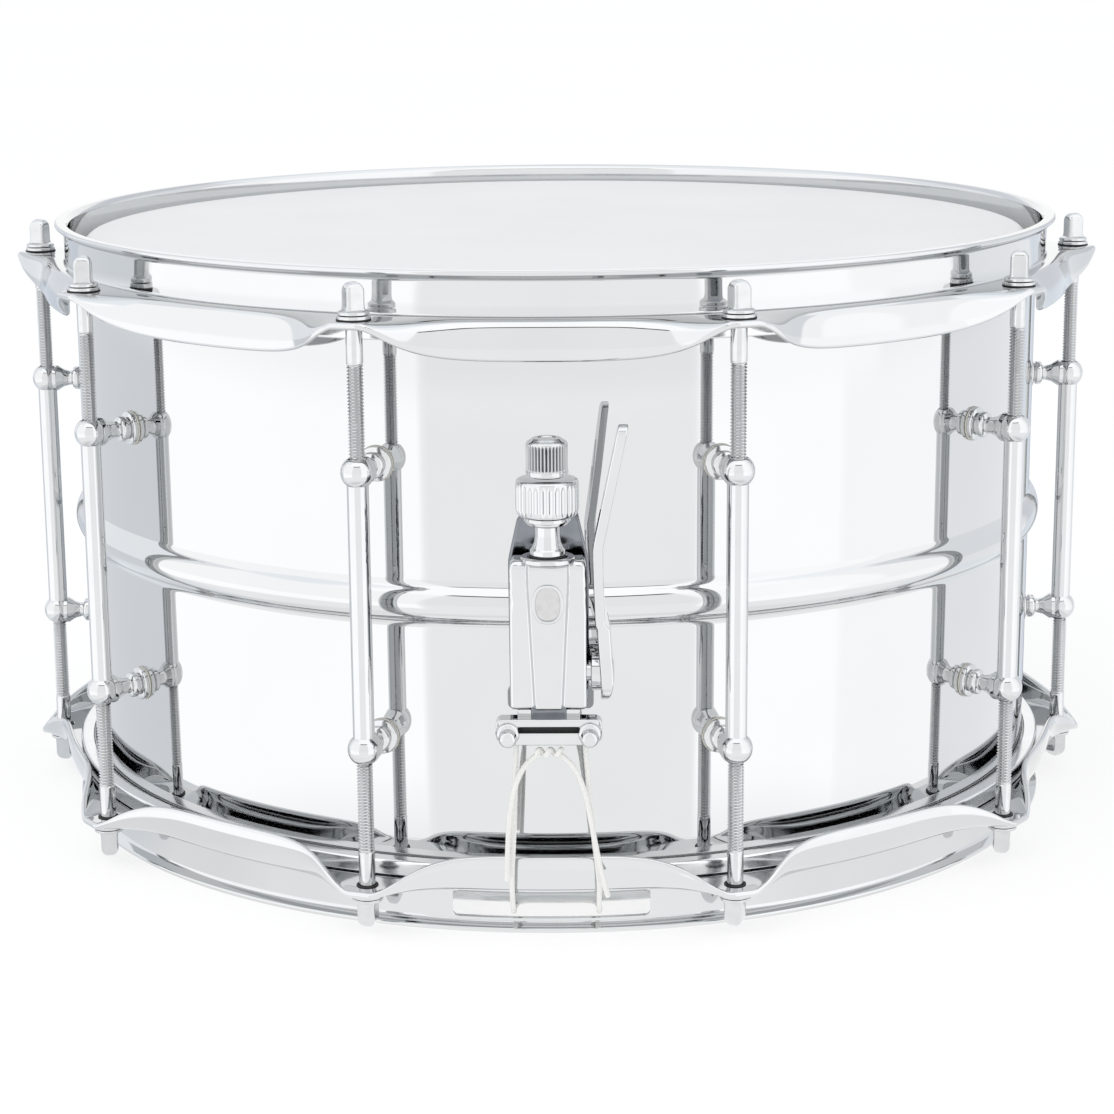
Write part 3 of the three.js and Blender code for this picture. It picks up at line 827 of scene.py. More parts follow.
def flesh_hoop(name, node, place):
    """A drawn channel that grips the film's collar."""
    profile = fillet([
        (FLESH_IN, FLESH_BOTTOM, 0.3), (FLESH_OUT, FLESH_BOTTOM, 0.9), (FLESH_OUT, FLESH_TOP, 0.9),
        (FLESH_OUT - 1.3, FLESH_TOP, 0.4), (FLESH_OUT - 1.3, FLESH_TOP - 1.2, 0.3),
        (FLESH_IN + 1.0, FLESH_TOP - 1.2, 0.3), (FLESH_IN + 1.0, FLESH_TOP, 0.4),
        (FLESH_IN, FLESH_TOP, 0.4),
    ], True)
    solid = Solid().skin(lathe(profile, FINE_ROUND), closed=True)
    piece(name, solid, ALUMINIUM, [node], place=place)


OVER = FRONT @ TURN_OVER
film("batter_head_film", "batter_head", COATED_FILM, FRONT)
film("snare_side_head_film", "snare_side_head", CLEAR_FILM, OVER)
flesh_hoop("batter_flesh_hoop_drawn", "batter_flesh_hoop", FRONT)
flesh_hoop("snare_side_flesh_hoop_drawn", "snare_side_flesh_hoop", OVER)

# ---- Lugs
LUG_BALL_R = 5.4
LUG_TUBE_R = 3.5
LUG_BORE_R = 2.95
POST_FOOT = SHELL_R + 0.4


def ball_arc(low, high, radius, centre, steps=14):
    """Part of a circle about (0, centre), from one height angle to another."""
    angles = [radians(low + (high - low) * i / steps) for i in range(steps + 1)]
    return [Vector((radius * cos(a), centre + radius * sin(a))) for a in angles]


def lug_mesh():
    shoulder = degrees(acos(LUG_TUBE_R / LUG_BALL_R))
    mouth = degrees(acos((LUG_BORE_R + 0.5) / LUG_BALL_R))
    half = ball_arc(-shoulder, mouth, LUG_BALL_R, LUG_BALL_Z)
    rim = half[-1].y
    half += [Vector((LUG_BORE_R + 0.15, rim + 0.12)), Vector((LUG_BORE_R, rim - 0.2))]
    other = [Vector((p.x, -p.y)) for p in reversed(half)]
    solid = Solid(40).skin(lathe(other + half, 56), upright(ROD_R), True)
    post = fillet([
        (0, 0), (5.7, 0, 0.2), (5.7, 1.4, 0.5), (4.7, 1.8, 0.3), (3.5, 2.1, 0.3), (3.6, 2.5, 0.3),
        (4.4, 2.8, 0.9), (4.3, 4.9, 1.2), (2.8, 5.4, 0.4), (2.7, 6.6, 1.2), (3.3, 8.8, 3.0),
        (4.9, 11.2, 0.9), (4.9, 12.6), (0, 12.6),
    ])
    for z in (LUG_BALL_Z, -LUG_BALL_Z):
        solid.skin(lathe(raised(post, POST_FOOT), 48), outward(0, z))
    return mesh_of("lug", solid)


def lug_trim():
    """The gasket under each post, and inside the shell the screw and washer that hold it."""
    gasket = Solid()
    screw = Solid()
    rim = fillet([(0, 0), (5.95, 0, 0.15), (5.95, 0.45, 0.15), (0, 0.45)])
    washer = fillet([(0, 0), (5.5, 0, 0.2), (5.5, -1.0, 0.2), (0, -1.0)])
    head = fillet([(0, -1.0), (3.9, -1.0, 0.3), (3.7, -2.6, 1.2), (0, -3.6)])
    for z in (LUG_BALL_Z, -LUG_BALL_Z):
        gasket.skin(lathe(raised(rim, SHELL_R - 0.03), 48), outward(0, z))
        for part in (washer, head):
            screw.skin(lathe(raised(part, SHELL_R - WALL), 40), outward(0, z))
    return mesh_of("lug_gasket", gasket), mesh_of("lug_screw", screw)


# ---- Tension rods
THREAD_PITCH = 1.058
WASHER_Z = 94.1


def thread_radius(turn, z):
    """A sharp-rooted thread, dying out into the shank above and the chamfer below."""
    phase = (z / THREAD_PITCH - turn / (2 * pi)) % 1
    cut = THREAD_DEPTH * min(1, 1.15 * (1 - 2 * abs(phase - 0.5)))
    fade = min(max((THREAD_TOP - z) / 1.5, 0), 1)
    chamfer = max(0, 1 - (z - ROD_END) / 1.2)
    return ROD_THREAD_R - cut * fade - 0.7 * chamfer


def squared(radius, power, turn):
    """A circle's radius at a turn, pressed towards a square by the power."""
    near = abs(cos(turn)) ** power + abs(sin(turn)) ** power
    return radius * near ** (-1 / power)


def rod_mesh():
    turns = full_turn(28)
    count = round((THREAD_TOP - ROD_END) / THREAD_PITCH * 8)
    heights = [ROD_END + (THREAD_TOP - ROD_END) * i / count for i in range(count + 1)]
    rings = [ring_at(z, turns, [thread_radius(t, z) for t in turns]) for z in heights]
    rings += [ring_at(z, turns, [ROD_THREAD_R] * len(turns)) for z in (THREAD_TOP + 0.4, WASHER_Z + 0.5)]
    solid = Solid(42).skin(rings)
    washer = [(0, 0), (5.4, 0, 0.2), (5.4, 1.15, 0.3), (0, 1.15)]
    collar = [(0, 1.4), (5.1, 1.4, 0.2), (5.1, 2.3, 0.45), (3.6, 2.95, 0.3), (0, 2.95)]
    for profile in (washer, collar):
        solid.skin(lathe(raised(fillet(profile), WASHER_Z), 48))
    top = 105.65
    dome = 3.0
    head = [(3.5, WASHER_Z + 2.6, 4.0), (3.05, WASHER_Z + 3.5, 6.0), (2.95, WASHER_Z + 4.6, 8.0)]
    head += [(2.95, top - dome, 8.0)]
    for i in range(1, 8):
        angle = pi / 2 * i / 8
        head.append((0.55 + 2.4 * cos(angle), top - dome + dome * sin(angle), 8 - 5.5 * i / 8))
    head.append((0.3, top, 2.0))
    fine = full_turn(48)
    solid.skin([ring_at(z, fine, [squared(radius, power, t) for t in fine]) for radius, z, power in head])
    return mesh_of("rod", solid)


ROD_SPINS = [8, 41, 23, 67, 14, 52, 30, 77, 5, 60, 36, 83, 19, 48, 71, 11, 57, 26, 44, 88]


def shade_ring_mesh(name, height):
    """A thin black ring of painted shade round a rod: its rim paints the shade under the ear's hole, its
    flange the shade line under the rod's washer.
    """
    low = EAR_TOP - STEEL
    ring = fillet([
        (2.8, low - height, 0.1), (3.6, low - height, 0.2), (3.6, low - 0.02), (3.2, low - 0.02),
        (3.2, EAR_TOP + 0.02), (5.55, EAR_TOP + 0.02), (5.55, WASHER_Z - 0.02),
        (2.8, WASHER_Z - 0.02),
    ], True)
    return mesh_of(name, Solid().skin(lathe(ring, 40), closed=True))


def lugs_and_rods():
    lower = shade_ring_mesh("ear_shade_ring_thin", 0.25)
    upper = shade_ring_mesh("ear_shade_ring_deep", 0.35)
    lug = lug_mesh()
    gasket, screw = lug_trim()
    rod = rod_mesh()
    for i in range(LUG_COUNT):
        number = f"{i + 1:02d}"
        seat = facing(LUG_STEP * (i + 0.5))
        piece(f"lug_{number}_turned", lug, CHROME, [f"lug_{number}"], place=seat)
        piece(f"lug_{number}_gaskets", gasket, GASKET, place=seat)
        piece(f"lug_{number}_screws", screw, NICKEL, place=seat)
        stand = seat @ Matrix.Translation((0, -ROD_R * MM, 0))
        for k, (side, over) in enumerate((("batter", Matrix()), ("snare", TURN_OVER))):
            node = f"{side}_rod_{number}"
            spin = Matrix.Rotation(radians(ROD_SPINS[2 * i + k]), 4, "Z")
            piece(f"{node}_threaded", rod, ROD_PLATE, [node], node, stand @ over @ spin)
        for side, over, shade_ring in (("batter", Matrix(), lower), ("snare", TURN_OVER, upper)):
            # Thin black rings of painted shade under each rod's washer and round each rod under its ear.
            piece(f"{side}_ear_{number}_bushing", shade_ring, RUBBER, place=stand @ over)


lugs_and_rods()

# ---- Strainer
BASE_BACK = 181.5
GUIDE_FRONT = 190
SLIDE_BACK = 190.35
SLIDE_FRONT = 200
SLIDE_HALF = 12
SLIDE_TOP = 20
SLIDE_BOTTOM = -28.1
SLIDE_CROWN = 3.2
SLIDE_FOOT = 1.2
PIVOT_F = 186.5
PIVOT_Z = -19
CHEEK_X = 12.9


def block(x0, x1, f0, f1, z0, z1, corner=0.8, bevel=0.5):
    """Rings of a box that faces outward, with rounded corners and a rounded front and back."""
    return prism(rectangle(x0, x1, z0, z1, corner), f0, f1, bevel)


def strainer_base():
    outline = fillet([
        (-12.6, -30, 1.5), (12.6, -30, 1.5), (12.8, 17, 14), (9.6, 31.2, 2.2), (-9.6, 31.2, 2.2),
        (-12.8, 17, 14),
    ], True, 8)
    solid = Solid().skin(prism(outline, BASE_BACK, BASE_BACK + 2.6, 0.9), outward())
    solid.skin(block(-10.5, 10.5, BASE_BACK + 1, GUIDE_FRONT, -27, SLIDE_TOP - 7.3, 1, 0.6), outward())
    for low, high in ((12, 29), (-29, -12)):
        solid.skin(block(-9, 9, SHELL_R + 0.15, BASE_BACK + 1, low, high, 1.5, 0.4), outward())
    flat_normals(piece("strainer_base_cast", solid, DARK_CHROME, ["strainer_base"]))


def mirrored(corners):
    """The left corners of an outline, and their mirror images on the right."""
    return corners + [(-corner[0], *corner[1:]) for corner in reversed(corners)]


def slide_section(z):
    """The block's outline at a height, from back left round the front to back right, as (x, f): a raised
    middle panel that tapers downward between two hollow flanks."""
    share = (z - SLIDE_BOTTOM) / (SLIDE_TOP - SLIDE_BOTTOM)
    panel = 3.9 + 2.0 * min(share / 0.85, 1)
    crown = max(0, z - (SLIDE_TOP - SLIDE_CROWN)) / SLIDE_CROWN
    foot = max(0, SLIDE_BOTTOM + SLIDE_FOOT - z) / SLIDE_FOOT
    draw = 3.0 * (1 - sqrt(max(0, 1 - crown ** 2))) + 0.8 * foot ** 2
    half = SLIDE_HALF - 0.45 * draw
    front = SLIDE_FRONT - draw
    flank = front - 1.0
    corners = [
        (-half, SLIDE_BACK), (-half, flank - 0.3, 2.8), (-half + 1.6, flank, 1.2),
        (-panel - 0.9, flank - 0.7, 0.7), (-panel, front, 0.5),
    ]
    return [(x, -f, z) for x, f in fillet(mirrored(corners), step=18)]


def strainer_slide():
    levels = [SLIDE_BOTTOM, SLIDE_BOTTOM + 0.4, SLIDE_BOTTOM + 0.8, SLIDE_BOTTOM + SLIDE_FOOT]
    straight = SLIDE_TOP - (SLIDE_CROWN + SLIDE_FOOT) - SLIDE_BOTTOM
    levels += [SLIDE_BOTTOM + SLIDE_FOOT + straight * i / 12 for i in range(1, 13)]
    levels += [SLIDE_TOP - SLIDE_CROWN + SLIDE_CROWN * sin(pi / 2 * i / 7) for i in range(1, 8)]
    solid = Solid(40).skin([slide_section(z) for z in levels])
    seat = fillet([(6.3, 19.4), (6.3, 20.7, 0.2), (7.2, 21.0, 0.5), (8.5, 20.6, 0.5), (8.7, 19.4)])
    cup = Solid().skin(lathe(seat, 64), upright(KNOB_F), True)
    made = piece("strainer_slide_cast", solid, CHROME, ["strainer_slide"], "strainer_slide")
    slot = Solid().skin(block(-6.2, 6.2, KNOB_F - 3.4, KNOB_F + 3.4, SLIDE_BOTTOM - 3, 12), outward())
    bore = Solid().skin(prism(circle(2.2), 8, SLIDE_TOP + 3), upright(KNOB_F))
    pocket = Solid().skin(block(-10.3, 10.3, 191.4, 197.4, SLIDE_BOTTOM - 3, SLIDE_BOTTOM + 3, 1), outward())
    bored(made, slot, bore, pocket)
    flat_normals(made)
    piece("knob_seat_ring", cup, CHROME, body="strainer_slide")


def emblem():
    """A plain oval plate with a raised rim and a satin field."""
    rim = []
    field = []
    for t in full_turn(64):
        near = (abs(cos(t)) ** 2.4 + abs(sin(t)) ** 2.4) ** (-1 / 2.4)
        rim.append(Vector((4.9 * near * cos(t), 6.4 + 6.3 * near * sin(t))))
        field.append(Vector((3.9 * near * cos(t), 6.4 + 5.3 * near * sin(t))))
    frame_rings = prism(rim, SLIDE_FRONT - 0.4, SLIDE_FRONT + 0.9, 0.45, 4)
    inner = [[(*p, h) for p in inset(rim, 0.9)] for h in (SLIDE_FRONT + 0.8, SLIDE_FRONT + 0.1)]
    solid = Solid().skin(frame_rings[:-1] + inner, outward())
    piece("emblem_rim", solid, CHROME, body="strainer_slide")
    plate = Solid().skin(prism(field, SLIDE_FRONT - 0.3, SLIDE_FRONT + 0.2, 0.1), outward())
    piece("emblem_field", plate, NICKEL, body="strainer_slide", slot="chrome")


RIB_DEPTH = 0.85


def knob_rings(profile, ribs, rib_low, rib_high, power):
    """A knob's rings: its profile is (radius, height), and between two heights rounded ribs stand out."""
    turns = full_turn(ribs * 12)
    rings = []
    for r, z in profile:
        inside = min(max((z - rib_low) / 0.8, 0), 1) * min(max((rib_high - z) / 0.8, 0), 1)
        depth = RIB_DEPTH * sqrt(inside)
        reach = [r - depth * (1 - abs(cos(ribs * t / 2)) ** power) for t in turns]
        rings.append(ring_at(z, turns, reach))
    return rings


def ribbed_part(radius, low, high):
    return [Vector((radius, low + (high - low) * i / 14)) for i in range(15)]


def adjust_knob():
    stem = fillet([
        (0, -16), (1.8, -16, 0.4), (1.8, 21.3), (5.6, 21.3, 0.3), (5.6, 22.9, 0.5),
        (5.0, 23.6, 0.8), (4.2, 25.4, 1.6), (3.95, 27.5, 1.5), (3.95, 30.6, 0.5), (6.6, 31.1, 0.5),
        (7.4, 32.4, 0.4), (7.0, 33.6), (0, 33.6),
    ])
    profile = fillet([(0, 33.4), (7.4, 33.4, 0.3), (9.3, 34.0, 1.6), (9.9, 35.9)])
    profile += ribbed_part(9.9, 36.0, 43.0)
    profile += fillet([(9.9, 43.1), (9.8, 45.3, 2.6), (7.0, 46.0, 0.8), (0, 46.0)])
    solid = Solid(48).skin(lathe(stem, 64), upright(KNOB_F))
    solid.skin(knob_rings(profile, 28, 34.9, 44.2, 0.7), upright(KNOB_F))
    made = piece("adjust_knob_fluted", solid, CHROME, ["adjust_knob"], "adjust_knob")
    made.visible_glossy = False


def lock_knob():
    profile = fillet([(0, 46.2), (5.9, 46.2, 0.3), (6.6, 46.6, 0.4), (6.7, 47.8, 0.3), (LOCK_KNOB_R, 48.2)])
    profile += ribbed_part(LOCK_KNOB_R, 48.3, 55.4)
    profile += fillet([
        (LOCK_KNOB_R, 55.5), (LOCK_KNOB_R, 57.0, 1.6), (5.2, 57.7, 0.8), (4.4, 58.3, 0.3),
        (3.4, 58.3, 0.3), (3.0, 57.9), (0, 57.9),
    ])
    rings = knob_rings(profile, 34, LOCK_RIBS_LOW, LOCK_RIBS_HIGH, 1.5)
    solid = Solid(40).skin(rings, upright(KNOB_F))
    made = piece("lock_knob_knurled", solid, KNURLED_CHROME, ["lock_knob"], "lock_knob")
    made.visible_glossy = False


def knob_washer():
    low = SLIDE_TOP + 0.1
    high = low + 1.1
    profile = fillet([(2.6, low, 0.1), (5.75, low, 0.25), (5.75, high, 0.25), (2.6, high, 0.1)], True)
    solid = Solid().skin(lathe(profile, 64), upright(KNOB_F), True)
    piece("knob_washer_moulded", solid, RUBBER, ["knob_washer"], "strainer_slide")


LEVER_BEND = 24
LEVER_INSIDE = 14.1
LEVER_THICK = 3.2
LEVER_STEP = -1.5
LEVER_ROUND = -17
LEVER_END = -27.4


def lever_lean(point):
    """The lever leans out above its bend. Below its step it turns into a wider, bowed paddle with a
    rounded end."""
    z = point.z
    lean = 0.2 * (z - LEVER_BEND) if z > LEVER_BEND else 2.6 * ((LEVER_BEND - z) / 51) ** 2
    share = (point.x - LEVER_INSIDE) / LEVER_THICK
    step = min(max((LEVER_STEP - z) / 1.2, 0), 1)
    foot = min(max((LEVER_ROUND - z) / (LEVER_ROUND - LEVER_END), 0), 1)
    width = (LEVER_THICK + 0.9 * step) * (1 - 0.55 * (1 - sqrt(1 - foot * foot)))
    start = LEVER_INSIDE + lean + 0.5 * step - 0.8 * foot * foot
    return Vector((start + share * width, point.y, z))


def throw_lever():
    corners = [
        (195, -14, 6), (195.5, -4, 20), (197.5, 10, 30), (200.5, 24, 40), (204, 42, 60),
        (207.4, 63.0, 2.6), (202.0, 64.8, 2.6), (196.2, 42, 60), (192, 24, 30), (188, 12, 20),
        (184.8, 0, 14), (178.0, -11, 8), (178.0, LEVER_END, 8.6), (195.0, LEVER_END, 8.6),
    ]
    outline = [Vector((-f, z)) for f, z in fillet(corners, True, 6)]
    dense = []
    for i, point in enumerate(outline):
        ahead = outline[(i + 1) % len(outline)]
        cuts = max(1, round((ahead - point).length / 1.6))
        dense += [point.lerp(ahead, k / cuts) for k in range(cuts)]
    rings = prism(dense, LEVER_INSIDE, LEVER_INSIDE + LEVER_THICK, 0.55)
    place = Matrix(((0, 0, 1, 0), (1, 0, 0, 0), (0, 1, 0, 0), (0, 0, 0, 1)))
    solid = Solid(40).skin(rings, place).move(lever_lean)
    hub = fillet([(0, CHEEK_X + 0.4), (6, CHEEK_X + 0.4, 0.4), (6, 17.5), (0, 17.5)])
    solid.skin(lathe(hub, 48), across(PIVOT_F, PIVOT_Z))
    flat_normals(piece("throw_lever_forged", solid, CHROME, ["throw_lever"], "throw_lever"))


def lever_pivot():
    pin = fillet([(0, 4.4), (3, 4.4), (3, 19.9), (4.2, 19.9, 0.2), (4.2, 20.3, 0.3), (2.6, 20.8, 0.4),
                  (1.9, 20.4, 0.2), (0, 20.4)])
    solid = Solid().skin(lathe(pin, 48), across(PIVOT_F, PIVOT_Z))
    piece("lever_pivot_turned", solid, CHROME, ["lever_pivot"], slot="dark_chrome")


strainer_base()
strainer_slide()
emblem()
adjust_knob()
lock_knob()
knob_washer()
throw_lever()
lever_pivot()

# ---- Cord clamps
CLAMP_HEIGHT = 8.2
CLAMP_HALF = 16.8
CLAMP_SCREW_X = 12.9
CLAMP_SCREW_Z = -36.4
PLATE_BACK = 193
PLATE_FRONT = 197.6
JAW_FRONT = 201.2
CLAMP_TOP = CLAMP_Z + CLAMP_HEIGHT


def clamp_carrier():
    """The dark stem that hangs the strainer's clamp on the adjusting screw, between two chrome cheeks."""
    solid = Solid().skin(block(-5.6, 5.6, KNOB_F - 3, KNOB_F + 3, CLAMP_Z + 2, 8), outward())
    solid.skin(block(-5.6, 5.6, 192, 196.5, CLAMP_Z + 5, SLIDE_BOTTOM - 0.2, 0.4, 0.3), outward())
    piece("clamp_carrier", solid, DARK_CHROME, body="cord_clamp")


def clamp_plate(owner, body, place, extra):
    slab = block(-CLAMP_HALF, CLAMP_HALF, PLATE_BACK, PLATE_FRONT, CLAMP_Z, CLAMP_TOP, 2.2)
    ledge = block(-15.9, 15.9, PLATE_FRONT - 1, 200.8, CLAMP_TOP - 2.2, CLAMP_TOP + 0.4, 1.1, 0.6)
    # A black strip in the recess between the ledge and the jaw: painted shade of that recess.
    strip = block(-9.2, 9.2, PLATE_FRONT - 0.2, 198.6, CLAMP_Z + 3.6, CLAMP_TOP - 2.0, 0.3, 0.2)
    solid = Solid()
    for part in (slab, ledge, *extra):
        solid.skin(part, outward())
    slot_shade = Solid().skin(strip, outward())
    piece(f"{owner}_clamp_slot_shade", slot_shade, RUBBER, body=body, place=place)
    node = f"{owner}_clamp_plate"
    flat_normals(piece(f"{node}_cast", solid, CHROME, [node], body, place))


def clamp_jaw(owner, body, place):
    solid = Solid()
    solid.skin(block(-10.8, 10.8, 197.8, 201.0, CLAMP_Z + 0.1, CLAMP_Z + 4.2, 0.8, 0.7), outward())
    ear = fillet([(0, 197.8), (3.7, 197.8), (3.95, 200.4, 1.0), (3.3, 202.2, 1.2), (0, 202.3)])
    for x in (-CLAMP_SCREW_X, CLAMP_SCREW_X):
        solid.skin(lathe(ear, 48), outward(x, CLAMP_SCREW_Z + 1.0))
        rib = block(x - 2.4, x + 2.4, 197.8, 200.6, CLAMP_Z + 5.4, CLAMP_TOP + 0.2, 1.4, 0.8)
        solid.skin(rib, outward())
    node = f"{owner}_clamp_jaw"
    flat_normals(piece(f"{node}_cast", solid, CHROME, [node], body, place))


def clamp_screws(owner, body, place):
    profile = fillet([
        (0, PLATE_BACK + 0.6), (1.7, PLATE_BACK + 0.6), (1.7, JAW_FRONT + 0.5),
        (2.9, JAW_FRONT + 0.5, 0.3), (3.0, 203.0, 1.4), (2.2, 204.9, 1.2), (0, 205.2),
    ])
    for side, x in (("left", -CLAMP_SCREW_X), ("right", CLAMP_SCREW_X)):
        solid = Solid(40).skin(lathe(profile, 48), outward(x, CLAMP_SCREW_Z))
        node = f"{owner}_clamp_screw_{side}"
        piece(f"{node}_turned", solid, CHROME, [node], body, place)


CLAMPS = {
    "strainer": ("cord_clamp", FRONT, [
        block(-9.9, -5.2, 192, 196.9, CLAMP_Z + 4, SLIDE_BOTTOM - 0.2, 0.8, 0.5),
        block(5.2, 9.9, 192, 196.9, CLAMP_Z + 4, SLIDE_BOTTOM - 0.2, 0.8, 0.5),
    ]),
    "butt": ("drum", REAR, [
        block(-14, 14, SHELL_R + 0.15, 182, -39.4, -11, 3, 0.7),
        block(-11, 11, 181, PLATE_BACK + 1, -37.4, -16, 2.5, 0.6),
    ]),
}
clamp_carrier()
for owner, (body, place, extra) in CLAMPS.items():
    clamp_plate(owner, body, place, extra)
    clamp_jaw(owner, body, place)
    clamp_screws(owner, body, place)

# ---- Snare wires
STRAND_COUNT = 20
STRAND_PITCH = 2.3
STRAND_R = 0.72
WIRE_R = 0.24
COIL_PITCH = 1.75
WIRES_Z = -103.6


def strand_mesh():
    """One coiled wire along Y."""
    half = PLATE_F - 9
    per_turn = 9
    count = round(2 * half / COIL_PITCH * per_turn)
    line = []
    for i in range(count + 1):
        turn = 2 * pi * i / per_turn
        y = -half + 2 * half * i / count
        line.append(Vector((STRAND_R * cos(turn), y, STRAND_R * sin(turn))))
    return mesh_of("strand", Solid(80).skin(tube(line, 5, lambda run, turn: WIRE_R, cap=False)))


def snare_wires():
    plates = Solid()
    for side in (-1, 1):
        low, high = sorted((side * PLATE_F, side * (PLATE_F - 14)))
        outline = rectangle(-24, 24, low, high, 3)
        plates.skin(prism(outline, -104.3, -103.9, 0.12))
        lip = rectangle(-24, 24, *sorted((side * (PLATE_F - 13.2), side * (PLATE_F - 6))), 1)
        plates.skin(prism(lip, -103.95, -103.0, 0.3))
    piece("snare_wire_plates", plates, NICKEL, ["snare_wires"])
    strand = strand_mesh()
    for i in range(STRAND_COUNT):
        x = (i - (STRAND_COUNT - 1) / 2) * STRAND_PITCH
        spot = FRONT @ Matrix.Translation((x * MM, 0, WIRES_Z * MM))
        piece(f"snare_strand_{i + 1:02d}", strand, SPRING_STEEL, place=spot)


snare_wires()

# ---- Floor and studio light
CHROME_TONE = 0.69
DEEP_SHARE = 0.72
TENT_GLOW = 1.02
FLOOR_HALF = 60
FLOOR_GLOW = 0.76
NEAR_FLOOR_R = 240
KEY_POWER = 6


def floor():
    mesh = bpy.data.meshes.new("floor")
    corners = [(x * FLOOR_HALF, y * FLOOR_HALF, 0) for x, y in ((-1, -1), (1, -1), (1, 1), (-1, 1))]
    mesh.from_pydata(corners, [], [(0, 1, 2, 3)])
    made, nodes = material("floor", (0.9, 0.9, 0.9))
    nodes.shade({
        "Base Color": nodes.drift(0.7, 3, (0.28, 0.28, 0.28), (0.30, 0.30, 0.30)),
        "Roughness": 0.9,
        "Specular IOR Level": 0,
        "Emission Color": (1, 1, 1, 1),
        "Emission Strength": FLOOR_GLOW,
    })
    mesh.materials.append(made)
    ground = in_scene("floor", mesh)
    ground.visible_glossy = False


def near_floor():
    """What the polished parts see of the floor close round the drum: a disc that glows only in reflections,
    greyer than the tent's walls, a painted reflection of the floor's shade near the drum.
    """
    rings = [[(p.x, p.y, -1.0) for p in circle(r, 96)] for r in (5, NEAR_FLOOR_R)]
    made, nodes = material("near_floor", (0.8, 0.8, 0.8))
    nodes.shade({
        "Emission Color": ramp(nodes, around(nodes, nodes.split("Object")), azimuth_stops(NEAR_BANDS, 5)),
        "Emission Strength": 1 / CHROME_TONE,
        "Base Color": (0, 0, 0, 1),
        "Specular IOR Level": 0,
    })
    disc = in_scene("near_floor", mesh_of("near_floor", Solid().skin(rings)))
    disc.data.materials.append(made)
    for ray in ("camera", "diffuse", "shadow", "transmission"):
        setattr(disc, "visible_" + ray, False)


def ramp(nodes, value, stops):
    """A ColorRamp over stops of (position, grey or colour)."""
    node = nodes.add("ValToRGB", {"Fac": value})
    band = node.color_ramp
    while len(band.elements) > 1:
        band.elements.remove(band.elements[-1])
    for i, (place, tone) in enumerate(stops):
        mark = band.elements[0] if i == 0 else band.elements.new(place)
        mark.position = place
        color = tone if isinstance(tone, tuple) else (tone, tone, tone)
        mark.color = (*color, 1)
    return node.outputs["Color"]


def from_level(level):
    """Linear light for a display level from 0 to 255."""
    share = level / 255
    return ((share + 0.055) / 1.055) ** 2.4 if share > 0.04045 else share / 12.92


def azimuth_stops(bands, soft=1.2):
    """Ramp stops for bands of (first azimuth, level), from -180 up, with narrow soft joins."""
    stops = []
    for i, (start, level) in enumerate(bands):
        tone = tuple(from_level(v) for v in level) if isinstance(level, tuple) else from_level(level)
        if i:
            stops.append(((start - soft + 180) / 360, stops[-1][1]))
        stops.append((max(0, (start + soft + 180) / 360) if i else 0, tone))
    return stops


def around(nodes, split):
    """A direction's azimuth, from the drum's front towards +X, as 0 to 1."""
    angle = nodes.math("ARCTAN2", split["X"], nodes.math("MULTIPLY", split["Y"], -1))
    return nodes.between(angle, 0, 1, -pi, pi)


# Display levels of the tent's cloths, or (red, green, blue) of the tinted ones.
LEFT_CLOTH = (200, 203, 207)
RIGHT_CLOTH = (221, 222, 224)
BACK_CLOTH = (184, 189, 197)
SHADED_CLOTH = (172, 177, 184)
GAP = (118, 126, 138)
WINDOW_HIGH = 227
SEAM_LEVEL = 45
# Heights in degrees: the window's foot, the step where its tone changes, its top, and the seam above it.
WINDOW_LOW = -24
WINDOW_RISE = -5
WINDOW_TOP = 46
WINDOW_SIDES = (-30, 33)
SEAM = 3.5
WALL_BANDS = [
    (-180, 236), (-175, GAP), (-167, BACK_CLOTH), (-143, LEFT_CLOTH), (-104.5, 252),
    (WINDOW_SIDES[0], 231), (WINDOW_SIDES[1], 252), (70, 246), (102.6, RIGHT_CLOTH),
    (143, (200, 205, 212)), (160, BACK_CLOTH), (167, GAP), (175, 236),
]
HIGH_BANDS = [
    (-180, 226), (-166, (200, 203, 208)), (-143, (222, 224, 227)), (-104.5, 244), (33, 249), (80, 241),
    (102.6, (212, 214, 217)), (143, (192, 195, 200)), (166, 226),
]
FLOOR_BANDS = [(-180, (210, 214, 219)), (-105, 231), (105, (214, 218, 222))]
NEAR_BANDS = [
    (-180, SHADED_CLOTH), (-105, LEFT_CLOTH), (-58, 215), (-40, 222), (-24, 229), (27, 222), (58, 216),
    (105, LEFT_CLOTH), (125, SHADED_CLOTH),
]
ROOF_BANDS = [
    (-180, (214, 218, 224)), (-130, (230, 233, 236)), (-70, 252), (80, (238, 240, 242)),
    (135, (214, 219, 225)),
]


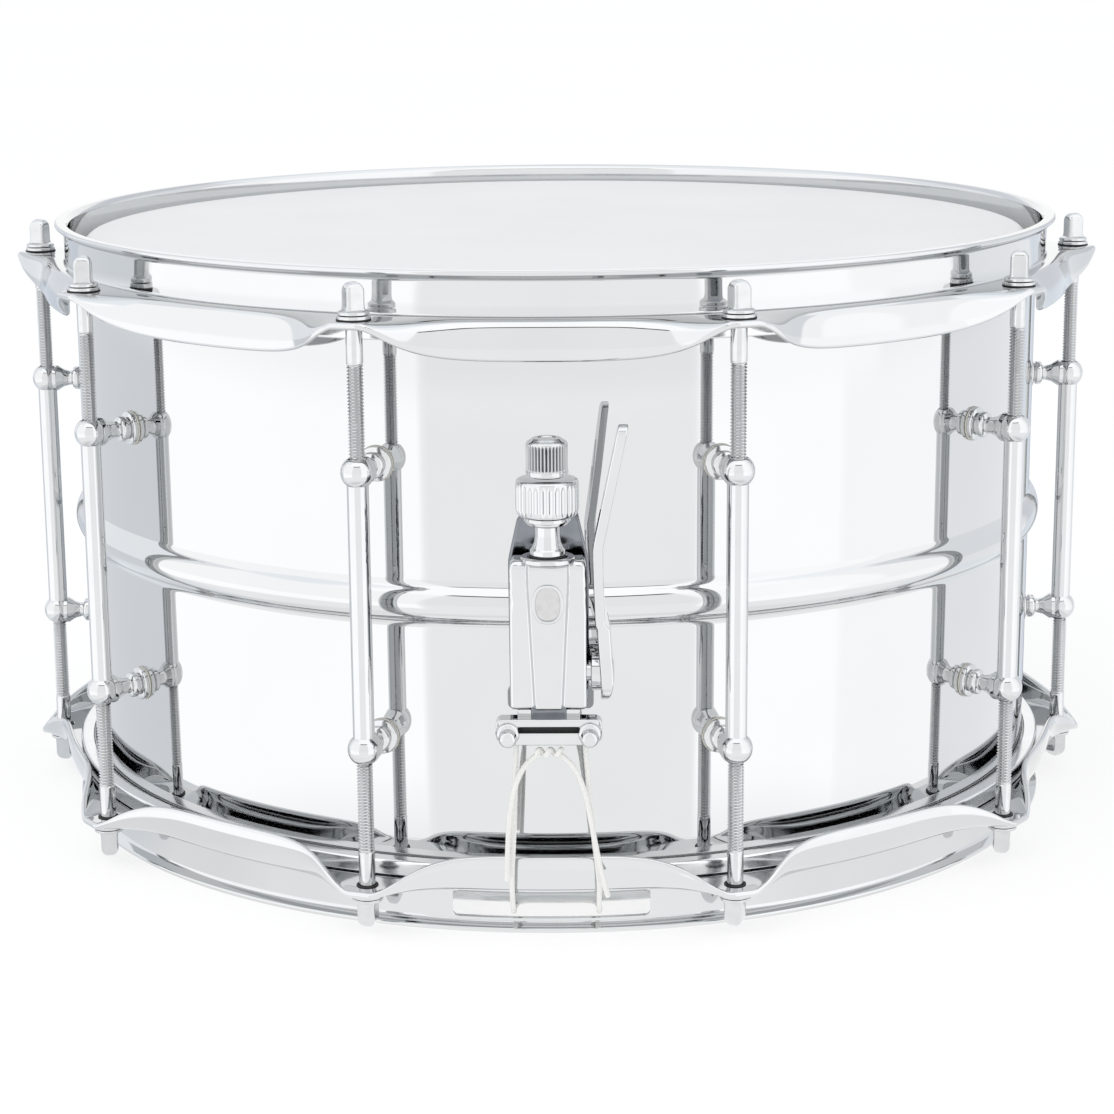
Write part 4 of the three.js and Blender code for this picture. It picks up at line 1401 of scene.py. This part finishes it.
def studio():
    """A white tent seen all round: a grey window in front, darker cloth behind, and a dark seam over the
    window. Light that has already met several polished faces is dimmer, as stray dust and haze make it."""
    world = bpy.data.worlds.new("studio")
    scene.world = world
    world.use_nodes = True
    nodes = Nodes(world.node_tree)
    split = nodes.split("Generated")
    turn = around(nodes, split)
    rise = nodes.math("ARCSINE", split["Z"])
    height = nodes.between(rise, 0, 1, -pi / 2, pi / 2)

    def within(low, high, soft=1.0):
        stops = [(low - soft, 0.0), (low + soft, 1.0)] if low > -90 else [(-90, 1.0)]
        if high < 90:
            stops += [(high - soft, 1.0), (high + soft, 0.0)]
        return ramp(nodes, height, [(a / 180 + 0.5, v) for a, v in stops])

    def bands(levels, soft):
        return ramp(nodes, turn, azimuth_stops(levels, soft))

    left, right = WINDOW_SIDES
    edges = ((left - 1, 0.0), (left + 1, 1.0), (right - 1, 1.0), (right + 1, 0.0))
    front = ramp(nodes, turn, [(a / 360 + 0.5, v) for a, v in edges])
    window = nodes.math("MULTIPLY", front, within(WINDOW_RISE, WINDOW_TOP))
    seam = nodes.math("MULTIPLY", front, within(WINDOW_TOP - 1, WINDOW_TOP + SEAM, 0.7))
    room = nodes.blend(within(WINDOW_RISE, 90), bands(WALL_BANDS, 0.8), bands(HIGH_BANDS, 1.5))
    room = nodes.blend(window, room, (from_level(WINDOW_HIGH),) * 3)
    room = nodes.blend(within(-90, WINDOW_LOW, 2.5), room, bands(FLOOR_BANDS, 14))
    room = nodes.blend(within(WINDOW_TOP, 90, 1.5), room, bands(ROOF_BANDS, 10))
    room = nodes.blend(seam, room, (from_level(SEAM_LEVEL),) * 3)
    under = ramp(nodes, height, [(0, 0.5), (25 / 180, 0.75), (45 / 180, 1.0)])
    lit = nodes.blend(1.0, room, under, blend_type="MULTIPLY")
    path = nodes.add("LightPath").outputs
    fade = nodes.between(path["Glossy Depth"], 1 / CHROME_TONE, DEEP_SHARE / CHROME_TONE, 1, 3)
    strengths = {0: path["Is Glossy Ray"], 2: TENT_GLOW, 3: fade}
    nodes.feed(world.node_tree.nodes["Background"], {
        "Color": nodes.blend(path["Is Camera Ray"], lit, (1.0, 1.0, 1.0)),
        "Strength": nodes.add("Mix", strengths, data_type="FLOAT").outputs[0],
    })


def soft_key():
    light = bpy.data.lights.new("soft_key", "AREA")
    light.shape = "RECTANGLE"
    light.size = 1.6
    light.size_y = 1.2
    light.energy = KEY_POWER
    lamp = in_scene("soft_key", light)
    aim = Vector((0, 0, MIDDLE))
    lamp.location = Vector((-0.9, -0.9, 1.9))
    lamp.rotation_euler = (aim - lamp.location).to_track_quat("-Z", "Y").to_euler()
    lamp.visible_glossy = False


floor()
near_floor()
studio()
soft_key()
scene.view_settings.view_transform = "Standard"
